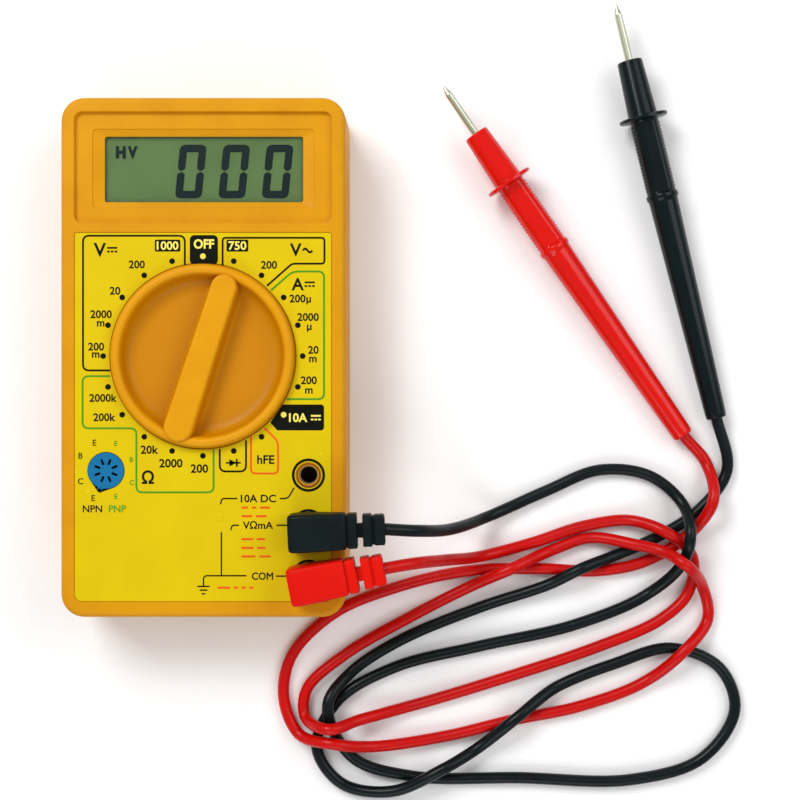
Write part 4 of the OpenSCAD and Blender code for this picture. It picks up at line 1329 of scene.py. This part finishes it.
@dataclass
class Probe:
    """A probe's handle: a long taper, a ribbed grip, a finger guard and a nose."""

    tail: Point3
    turn: float
    grip_low: float = 59.6
    grip_high: float = 78.4
    guard_d: float = 12.4
    guard_at: float = 79.0

    def place(self) -> Matrix:
        """Turn and place of the handle, whose axis is Z from its tail."""
        tilt = math.asin((self.guard_d / 2 + 0.1 - self.tail[2]) / self.guard_at)
        return (Matrix.Translation(self.tail)
                @ Matrix.Rotation(math.radians(self.turn), 4, "Z")
                @ Matrix.Rotation(math.pi / 2 - tilt, 4, "Y"))

    def build(self, side: Side) -> list[bpy.types.Object]:
        """Makes the handle and the ribs of its grip.

        Args:
            side: Which lead it is on.

        Returns:
            The handle and its ribs, on the meter's body, as the lead lies beside it.
        """
        low, high = self.grip_low, self.grip_high
        guard = self.guard_d / 2
        rows = [(1.6, 0.02, 1.0), (2.3, 0.0, 1.0), (2.52, 0.15, 1.0), (2.62, 0.5, 1.0),
                (2.68, 1.5, 1.0), (3.2, 30.0, 1.0), (3.7, 56.8, 1.0), (3.75, 57.6, 1.0),
                (4.0, 58.0, 1.0), (4.1, 58.3, 1.0), (4.1, 59.0, 1.0), (4.0, 59.25, 1.0),
                (3.72, 59.4, 1.0), (3.7, low, 0.86), (3.66, low + 0.8, 0.86),
                (3.58, high - 1.0, 0.86), (3.56, high - 0.4, 0.9), (3.7, high, 1.0),
                (guard - 0.35, high + 0.1, 1.0), (guard - 0.05, high + 0.3, 1.0),
                (guard, high + 0.6, 1.0), (guard - 0.05, high + 0.9, 1.0),
                (guard - 0.35, high + 1.1, 1.0), (3.8, high + 1.2, 1.0),
                (3.72, high + 1.5, 1.0), (3.2, 93.4, 1.0), (3.1, 93.8, 1.0), (2.85, 93.96, 1.0),
                (1.9, 94.0, 1.0), (1.02, 94.0, 1.0)]
        m = MeshMaker()
        revolve(m, [(r, z) for r, z, _ in rows], 48, [share for _, _, share in rows])
        name = side.value
        look = Look.PROBE_BLACK if side is Side.BLACK else Look.PROBE_RED
        handle = m.make(f"{name}_probe", look, self.place(), 40.0)
        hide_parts(f"{name}_probe_handle")
        in_metres = Matrix.Scale(MM, 4) @ self.place() @ Matrix.Scale(1 / MM, 4)
        count = 20
        step = (high - low - 2.4) / (count - 1)
        ribs = grow(f"{name}_grip_ribs", grip_ribs_tree(), {
            "Count": count, "Step": (0.0, 0.0, step * MM), "Rib Radius": 3.82 * MM,
            "Rib Width": 0.42 * MM, "Squash": (0.76, 1.0, 1.0),
            "Place": (0.0, 0.0, (low + 1.0) * MM), "Finish": material_of(look)}, in_metres)
        for piece in (handle, ribs):
            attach(piece, "meter")
        return [handle, ribs]


@dataclass
class Lead:
    """A test lead: its plug, its cord and its probe.

    The heights still_z and moving_z, in metres, are not used.
    """

    side: Side
    jack: Point2
    plug_turn: float
    route: Sequence[tuple[float, ...]]
    probe: Probe
    cord_d: float = 3.0
    in_handle: float = 54.0
    still_z: float = 0.013
    moving_z: float = 0.0295

    def path(self) -> list[Vector]:
        """Middle of the cord in millimetres, from the plug to inside the handle."""
        place = self.probe.place()
        inside = [place @ Vector((0.0, 0.0, self.in_handle * k / 4)) for k in range(5)]
        low = self.cord_d / 2
        laid = [Vector(p if len(p) == 3 else (*p, low)) for p in self.route]
        path = smooth_path([*laid, *inside], 1.5)
        return [Vector((p.x, p.y, max(p.z, low))) for p in path]

    def build(self) -> list[bpy.types.Object]:
        """Makes the lead and its cord.

        Returns:
            The plug, the cord, the handle and its ribs.
        """
        name = self.side.value
        plug = Plug().build(self.side, self.jack, self.plug_turn)
        tools = self.probe.build(self.side)
        path = self.path()
        m = MeshMaker()
        sweep(m, path, self.cord_d / 2 - 0.01)
        look = Look.BLACK_VINYL if self.side is Side.BLACK else Look.RED_VINYL
        cord = m.make(f"{name}_cord", look, crease=60.0)
        length = sum((b - a).length for a, b in zip(path, path[1:])) * MM
        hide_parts(f"{name}_cable")
        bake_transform(cord)
        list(tools)
        log.info("%s cord is %.0f mm long", name, length / MM)
        return [plug, cord, *tools]


# ---- carried-over pieces, studio and main ----

NODE_LOOKS = {
    Look.CLEAR: ["display_window"],
    Look.LCD: ["lcd_panel"],
    Look.WHITE: ["lcd_frame", "trimmer_rotor"],
    Look.ELASTOMER: ["zebra_strip"],
    Look.BOARD: ["circuit_board"],
    Look.GOLD: ["switch_tracks"],
    Look.STEEL: ["case_screws", "board_screws", "detent_ball_left", "detent_ball_right",
                 "detent_spring_left", "detent_spring_right", "fuse_caps",
                 "battery_terminals", "black_probe_tip", "red_probe_tip"],
    Look.EPOXY: ["converter_chip"],
    Look.BRASS: ["contact_springs", "jack_10a", "jack_volt", "jack_com", "fuse_clips",
                 "socket_contacts", "black_plug_pin", "red_plug_pin", "black_plug_spring",
                 "red_plug_spring"],
    Look.MANGANIN: ["shunt_wire"],
    Look.GLASS: ["fuse_glass"],
    Look.BLUE: ["transistor_socket"],
    Look.TRIMMER: ["trimmer_body"],
    Look.RESISTOR: ["resistors"],
    Look.FILM: ["film_capacitors"],
    Look.SLEEVE: ["electrolytic_capacitor"],
    Look.JACKET: ["battery"],
    Look.BLACK_PLASTIC: ["battery_clip"],
    Look.RED_VINYL: ["battery_wire_red"],
    Look.BLACK_VINYL: ["battery_wire_black"],
}


@dataclass
class Studio:
    """The camera, the pale floor and the soft lights."""

    stand: Point3 = (0.048, -0.0104, 0.4)
    lens: float = 69.4
    sensor: float = 36.0
    floor_size: float = 1600.0
    sky: float = 0.42

    def camera(self) -> None:
        """Sets the camera straight above the front face."""
        data = bpy.data.cameras.new("camera")
        data.lens, data.sensor_width = self.lens, self.sensor
        data.clip_start = 0.01
        camera = bpy.data.objects.new("camera", data)
        camera.location = self.stand
        bpy.context.scene.collection.objects.link(camera)
        bpy.context.scene.camera = camera

    def floor(self) -> None:
        """Lays the floor just under the meter."""
        m = MeshMaker()
        m.prism(rounded(self.floor_size, self.floor_size, 200.0), -6.0, -0.02)
        m.make("floor", Look.FLOOR)

    def light(self, name: str, at: Point3, aim: Point3, size: tuple[float, float],
              power: float) -> None:
        """Sets a soft lamp.

        Args:
            name: Name of the lamp.
            at: Where it stands, in metres.
            aim: Where it points.
            size: Width and height of its face.
            power: Its power in watts.
        """
        data = bpy.data.lights.new(name, "AREA")
        data.shape = "RECTANGLE"
        data.size, data.size_y = size
        data.energy = power
        lamp = bpy.data.objects.new(name, data)
        lamp.location = at
        lamp.rotation_euler = (Vector(aim) - Vector(at)).to_track_quat("-Z", "Y").to_euler()
        bpy.context.scene.collection.objects.link(lamp)

    def build(self) -> None:
        """Sets up the whole studio."""
        self.camera()
        self.floor()
        self.light("key", at=(-0.32, 0.42, 0.62), aim=(0.03, 0.0, 0.0), size=(0.4, 0.3),
                   power=4.0)
        self.light("fill", at=(0.5, 0.2, 0.55), aim=(0.04, 0.0, 0.0), size=(0.5, 0.5),
                   power=1.7)
        self.light("front", at=(0.0, -0.6, 0.5), aim=(0.04, 0.0, 0.0), size=(0.6, 0.3),
                   power=1.5)
        world = bpy.data.worlds.new("studio")
        world.use_nodes = True
        feed(world.node_tree, world.node_tree.nodes["Background"],
             {"Color": (1.0, 1.0, 1.0, 1.0), "Strength": self.sky})
        bpy.context.scene.world = world
        bpy.context.scene.view_settings.view_transform = "Standard"


@dataclass
class Socket:
    """The place of the round transistor socket and its pointed tab."""

    mid: Point2 = (-23.6, -27.6)
    radius: float = 4.4
    tab_reach: float = 5.0
    tab_turn: float = -108.0
    tab_r: float = 0.6
    gap: float = 0.15

    def tab(self) -> Point2:
        """Middle of the tab's tip."""
        a = math.radians(self.tab_turn)
        return (self.mid[0] + self.tab_reach * math.cos(a),
                self.mid[1] + self.tab_reach * math.sin(a))

    def hole(self) -> list[Point2]:
        """Outline of the hole that the socket sits in, anticlockwise."""
        radius, tab = self.radius + self.gap, self.tab()
        out = Vector(tab) - Vector(self.mid)
        heading = math.atan2(out.y, out.x)
        spread = math.acos((radius - self.tab_r) / out.length)
        points = []
        for k in range(49):
            a = heading + spread + (math.tau - 2 * spread) * k / 48
            points.append((self.mid[0] + radius * math.cos(a),
                           self.mid[1] + radius * math.sin(a)))
        for k in range(9):
            a = heading - spread + 2 * spread * k / 8
            points.append((tab[0] + self.tab_r * math.cos(a), tab[1] + self.tab_r * math.sin(a)))
        return points


def main() -> None:
    """Builds every piece in order and reports it."""
    logging.basicConfig(level=logging.INFO, format="%(name)s: %(message)s")
    for thing in list(bpy.data.objects):
        bpy.data.objects.remove(thing)
    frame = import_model()
    Studio().build()
    jack_x = sum(corner.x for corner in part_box("jack_10a")) / 2 / MM
    jacks = [(jack_x, sum(corner.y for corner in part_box(node)) / 2 / MM)
             for node in ("jack_10a", "jack_volt", "jack_com")]
    leads = [Lead(Side.BLACK, jacks[1], 2.5, BLACK_ROUTE, Probe((129.5, -15.0, 2.75), 104.2)),
             Lead(Side.RED, jacks[2], 11.0, RED_ROUTE, Probe((121.0, -19.5, 2.75), 124.9))]
    for lead in leads:
        for piece in lead.build():
            log.info("made %s", piece.name)
    knob, socket = Knob(), Socket()
    for piece in (*Case().build(knob, jacks, socket.hole()), knob.build(), Display().build()):
        log.info("made %s", piece.name)
    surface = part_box("front_label")[1].z / MM
    DialPrint(knob.axis, surface).build(jacks, socket.tab())
    for look, nodes in NODE_LOOKS.items():
        for node in nodes:
            wear(frame["nodes"][node], look)
    log.info("dressed %d carried-over pieces", sum(map(len, NODE_LOOKS.values())))


if __name__ == "__main__":
    main()
